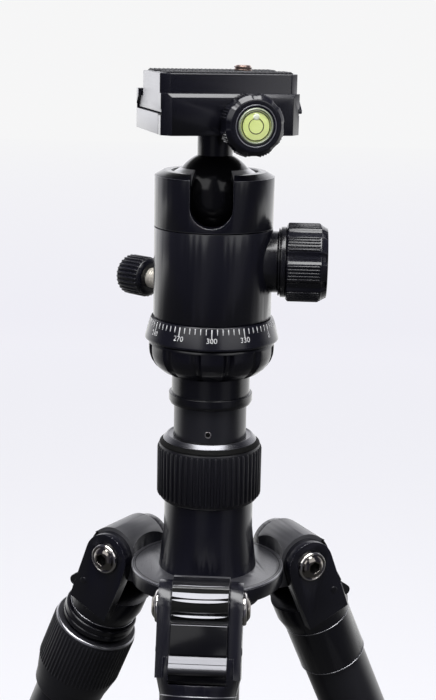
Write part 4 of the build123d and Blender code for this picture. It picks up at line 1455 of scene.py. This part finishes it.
# ---------------------------------------------------------------- clamp and plate
@dataclass
class Clamp:
    """The dovetail clamp on the ball's stem, with its jaw, knob and bubble level."""

    knob_gap: float = 0.3
    knob_radius: float = 10.65
    knob_length: float = 8.0
    knob_bevel: float = 1.6
    knob_front: float = 8.7
    level_bore: float = 6.02
    bubble_reach: float = 3.1
    along: Vector = field(init=False)
    axes: Matrix = field(init=False)

    def __post_init__(self) -> None:
        """Finds the clamp's direction and its knob's axes."""
        _, self.along = joint("plate_slide")
        point, axis = joint("clamp_knob_turn")
        self.axes = axes_at(point + axis * self.knob_gap * MM, axis, self.along)

    def build(self) -> None:
        """Makes every piece of the clamp."""
        self.dress_stem()
        milled_block("clamp_base", "clamp_bed", "neck", self.along)
        milled_block("clamp_jaw", "moving_jaw", "clamp_jaw", self.along)
        self.dress_knob()
        self.dress_level()

    def dress_stem(self) -> None:
        """Makes the stem between the ball and the clamp."""
        low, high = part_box("neck_stem")
        tall = (high.z - low.z) / MM
        stem = [(0, 0), (6.2, 0), (6.2, tall), (0, tall)]
        place = Place(height_axes(low.z), "neck")
        place.turned("ball_stem", stem, TURNED_BLACK, "neck_stem", round_by=0.1, segments=128)

    def dress_knob(self) -> None:
        """Makes the clamp's knob and its screw."""
        place = Place(self.axes, "clamp_knob")
        sizes = (self.knob_radius, self.knob_length, self.knob_bevel, self.knob_front)
        cuts = {"per_group": 4, "pitch": 5.6, "scoop": 0.3, "bore": self.level_bore, "bore_depth": 4.0}
        LobedKnob("clamp_knob_body", "clamp_knob", place, *sizes, **cuts).build()
        # Painted highlight: a pale metal ring round the level's bore.
        rim = [(self.level_bore, 7.2), (6.7, 8.02), (7.0, 8.05), (7.05, 7.8), (6.4, 7.0)]
        place.turned("level_rim", rim, EDGE_HIGHLIGHT, round_by=0.06)
        screw = [(0, -18.1), (2.5, -18.1), (2.5, 0), (0, 0)]
        steel = Place(self.axes, "clamp_knob", "steel_screws")
        steel.turned("clamp_screw_shank", screw, STEEL, "clamp_screw", round_by=0.2, segments=48)

    def dress_level(self) -> None:
        """Makes the round level: its cup, liquid, target ring and bubble."""
        place = Place(self.axes, "clamp_knob", "level_vial")
        cup = [(0, 4.0), (6.0, 4.0), (6.0, 7.9), (5.7, 8.3), (5.35, 8.3), (5.2, 7.9), (5.2, 7.55), (0, 7.55)]
        place.turned("level_cup", cup, CLEAR_RIM, "level_vial", round_by=0.12)
        liquid = [(0, 7.5), (5.22, 7.5), (5.22, 7.72), (4.4, 7.86), (2.6, 7.94), (0, 7.97)]
        place.turned("level_liquid_face", liquid, LIQUID, round_by=0.05)
        for name, radius in (("level_target", 2.5), ("level_outer_line", 4.75)):
            line = [(radius - 0.13, 7.8), (radius + 0.13, 7.8), (radius + 0.13, 8.0), (radius - 0.13, 8.0)]
            place.turned(name, line, PRINT_AND_SHADE_BLACK, round_by=0.03)
        uphill = self.axes.to_3x3().inverted() @ UP
        centre = Vector((uphill.x, uphill.y, 0)).normalized() * self.bubble_reach
        shape = [(0, 7.85), (0.95, 7.86), (1.1, 7.98), (0.9, 8.09), (0.45, 8.16), (0, 8.18)]
        lifted = Place(self.axes @ Matrix.Translation(centre), "clamp_knob", "level_vial")
        lifted.turned("level_bubble", shape, BUBBLE, round_by=0.08, segments=48)


@dataclass
class Plate:
    """The quick-release plate with its rubber pads and the camera screw."""

    along: Vector
    pad_half_length: float = 22.0
    pad_inner: float = 4.3
    pad_outer: float = 14.0
    pad_thickness: float = 0.35
    thread_length: float = 2.3

    def build(self) -> None:
        """Makes the plate, its pads and its screw."""
        milled_block("qr_plate", "plate_slab", "plate", self.along)
        self.dress_pads()
        self.dress_screw()

    def dress_pads(self) -> None:
        """Makes the two pads and the round bumps that cover them."""
        low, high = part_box("plate_pads")
        centre = Vector(((low.x + high.x) / 2, (low.y + high.y) / 2, low.z))
        place = Place(axes_at(centre, UP, self.along), "plate", "rubber")
        half, near, far = self.pad_half_length, self.pad_inner, self.pad_outer
        outline = [(-half, near), (half, near), (half, far), (-half, far)]
        sheets = [
            (lofted([[(x, way * y, z) for x, y in outline] for z in (0, self.pad_thickness)]), place.axes)
            for way in (1, -1)
        ]
        place.settle(stand("pad_sheets", joined(sheets)), "plate_pads", finish=RUBBER)
        sizes = {"Across": 42.6, "Down": 8.3, "Columns": 29, "Rows": 6, "Radius": 0.52, "Height": 0.46}
        for way, label in ((1, "back"), (-1, "front")):
            at = (0, way * (near + far) / 2, self.pad_thickness - 0.03)
            place.grow(BUMP_GRID, f"pad_bumps_{label}", RUBBER, at=at, crease=60.0, **sizes)

    def dress_screw(self) -> None:
        """Makes the camera screw's head, its shank and its thread."""
        point, _ = joint("camera_screw_turn")
        low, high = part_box("camera_screw")
        foot = Vector((point.x, point.y, low.z))
        place = Place(axes_at(foot, UP, self.along), "camera_screw", "steel_screws")
        tall = (high.z - low.z) / MM
        start = tall - self.thread_length
        core = [(0, 0), (6.6, 0), (7.0, 0.4), (7.0, 2.4), (2.4, 2.4), (2.4, start), (2.75, start + 0.1)]
        core += [(2.75, tall - 0.35), (2.3, tall - 0.05), (0, tall - 0.05)]
        place.turned("camera_screw_core", core, COPPERY, "camera_screw", round_by=0.1)
        sizes = {"Radius": 2.82, "Pitch": 0.85, "Length": 1.5, "Depth": 0.34}
        place.grow(THREAD, "camera_screw_thread", COPPERY, at=(0, 0, start + 0.35), **sizes)


# ---------------------------------------------------------------- studio
@dataclass(frozen=True)
class Lamp:
    """A soft oblong lamp: its place and its size in metres, and its power in watts."""

    name: str
    place: Triple
    width: float
    depth: float
    power: float


@dataclass
class Studio:
    """A pale floor, soft light all round but from the camera's side, and the camera.

    The camera's distance from the column's line and its height above the spider's disc are in
    millimetres, its angles in degrees. The floor's and the lamps' places are in metres.
    """

    lens: float = 71.8
    azimuth: float = -87.2
    distance: float = 488.5
    height: float = 195.2
    pitch: float = 13.13
    yaw: float = 0.28
    roll: float = -1.17
    backdrop: Colour = (0.922, 0.922, 0.925)
    # The floor's tones for the camera: pale near, darker and bluer in the middle distance as painted shade,
    # and pale again far off.
    near: Colour = (0.930, 0.930, 0.970)
    middle: Colour = (0.860, 0.855, 0.915)
    far: Colour = (0.915, 0.915, 0.922)
    near_at: float = 0.08
    middle_at: float = 0.34
    floor_reach: float = 6.0
    floor_front: float = -0.6
    floor_start: float = -4.0
    strips: tuple[tuple[float, float], ...] = ((-105.0, 0.09), (-41.0, 0.11))
    target: Triple = (0, 0, 0.42)
    lamps: tuple[Lamp, ...] = (
        Lamp("lamp_top", (0.0, -0.32, 1.7), 1.3, 0.95, 40.0),
        Lamp("lamp_front_left", (-1.2, -1.6, 1.6), 1.8, 1.2, 14.0),
        Lamp("lamp_front_right", (1.3, -1.5, 1.5), 1.8, 1.2, 11.0),
    )

    def build(self) -> None:
        """Makes the floor, the world, the lamps and the camera."""
        self.add_floor()
        self.add_world()
        for lamp in self.lamps:
            self.add_lamp(lamp)
        self.add_camera()

    def add_floor(self) -> None:
        """Makes the floor, which lifts to the backdrop's tones for the camera, darker in the middle distance
        as painted shade.
        """
        made = bpy.data.materials.new("pale_floor")
        graph = emptied(made)
        where = graph.put("ShaderNodeTexCoord").outputs["Object"]
        back = graph.put("ShaderNodeSeparateXYZ", None, where).outputs["Y"]
        cloud = graph.put("ShaderNodeTexNoise", Vector=where, Scale=1.5)
        tone = graph.tone(cloud, (0.80, 0.80, 0.84, 1), (0.84, 0.84, 0.87, 1))
        matt = graph.put("ShaderNodeBsdfPrincipled", Base_Color=tone, Roughness=0.9, Specular_IOR_Level=0.1)
        depth = graph.ranged(back, From_Max=self.floor_reach)
        sweep = graph.put("ShaderNodeValToRGB", None, depth)
        ramp = sweep.color_ramp.elements
        ramp[0].position = self.near_at
        ramp[0].color = rgba(self.near)
        ramp[1].color = rgba(self.far)
        ramp.new(self.middle_at).color = rgba(self.middle)
        share = graph.ranged(depth, From_Min=0.06, From_Max=0.30, To_Min=0.72)
        seen = graph.shaders(share, matt, graph.put("ShaderNodeEmission", Color=sweep))
        strength = graph.ranged(back, True, From_Min=0.05, From_Max=1.1, To_Min=0.09, To_Max=1.7)
        card = graph.put("ShaderNodeEmission", Strength=strength)
        is_front = graph.math("LESS_THAN", back, self.floor_front)
        bounce = graph.shaders(is_front, card, graph.put("ShaderNodeBsdfTransparent"))
        shown = graph.shaders(graph.put("ShaderNodeLightPath").outputs["Is Camera Ray"], bounce, seen)
        graph.put("ShaderNodeOutputMaterial", Surface=shown)
        mesh = bpy.data.meshes.new("floor")
        reach, start = self.floor_reach, self.floor_start
        corners = [(-reach, start, 0), (reach, start, 0), (reach, reach, 0), (-reach, reach, 0)]
        mesh.from_pydata(corners, [], [(0, 1, 2, 3)])
        mesh.materials.append(made)
        stand("floor", mesh)

    def add_world(self) -> None:
        """Lights the object from a pale room that is dark on the camera's side."""
        world = bpy.data.worlds.new("room")
        bpy.context.scene.world = world
        graph = emptied(world)
        where = graph.put("ShaderNodeTexCoord").outputs["Generated"]
        _, back, height = graph.put("ShaderNodeSeparateXYZ", None, where).outputs
        fade = graph.ranged(back, True, From_Min=0.1, From_Max=0.8)
        low = graph.ranged(height, True, From_Min=0.36, From_Max=0.66, To_Min=1.0, To_Max=0.12)
        total = graph.product(fade, low)
        heading = graph.vector_math("NORMALIZE", graph.vector_math("MULTIPLY", where, (1, 1, 0)))
        for azimuth, share in self.strips:
            turn = math.radians(azimuth)
            aim = graph.vector_math("DOT_PRODUCT", heading, (math.cos(turn), math.sin(turn), 0))
            strip = graph.ranged(aim, True, From_Min=0.955, From_Max=0.99, To_Max=share)
            total = graph.math("ADD", total, strip)
        tone = graph.tone(total, (0.07, 0.07, 0.10, 1), (1.6, 1.6, 1.66, 1))
        room = graph.put("ShaderNodeBackground", Color=tone)
        seen = graph.put("ShaderNodeBackground", Color=rgba(self.backdrop))
        shown = graph.shaders(graph.put("ShaderNodeLightPath").outputs["Is Camera Ray"], room, seen)
        graph.put("ShaderNodeOutputWorld", Surface=shown)

    def add_lamp(self, lamp: Lamp) -> None:
        """Adds a lamp that looks at the head.

        Args:
            lamp: The lamp.
        """
        light = bpy.data.lights.new(lamp.name, "AREA")
        light.shape = "RECTANGLE"
        light.size = lamp.width
        light.size_y = lamp.depth
        light.energy = lamp.power
        aim = Vector(self.target) - Vector(lamp.place)
        turn = aim.to_track_quat("-Z", "Y").to_matrix().to_4x4()
        stand(lamp.name, light).matrix_world = Matrix.Translation(lamp.place) @ turn

    def add_camera(self) -> None:
        """Stands the camera in front of the head, a little above it."""
        azimuth, pitch, yaw, roll = map(math.radians, (self.azimuth, self.pitch, self.yaw, self.roll))
        level = Vector((math.cos(azimuth), math.sin(azimuth), 0)) * self.distance
        place = (level + UP * self.height) * MM + UP * disc_level()
        heading = azimuth + math.pi - yaw
        forward = Vector((math.cos(heading), math.sin(heading), 0))
        ahead = forward * math.cos(pitch) - UP * math.sin(pitch)
        right = forward.cross(UP)
        down = ahead.cross(right)
        across = right * math.cos(roll) + down * math.sin(roll)
        below = down * math.cos(roll) - right * math.sin(roll)
        view = bpy.data.cameras.new("camera")
        view.sensor_fit = "VERTICAL"
        view.sensor_height = 36.0
        view.lens = self.lens
        view.clip_start = 0.01
        view.clip_end = 50.0
        camera = stand("camera", view)
        turn = Matrix((across, -below, -ahead)).transposed().to_4x4()
        camera.matrix_world = Matrix.Translation(place) @ turn
        bpy.context.scene.camera = camera


def main() -> None:
    """Builds the tripod from its spider to its plate, then the studio."""
    logging.basicConfig(level=logging.INFO, format="%(name)s %(message)s")
    bpy.context.scene.view_settings.view_transform = "Standard"
    Spider().build()
    for side in Side:
        Leg(side).build()
    column = Column()
    column.build()
    Housing(column.axes).build()
    Knobs().build()
    clamp = Clamp()
    clamp.build()
    Plate(clamp.along).build()
    Studio().build()


if __name__ == "__main__":
    main()
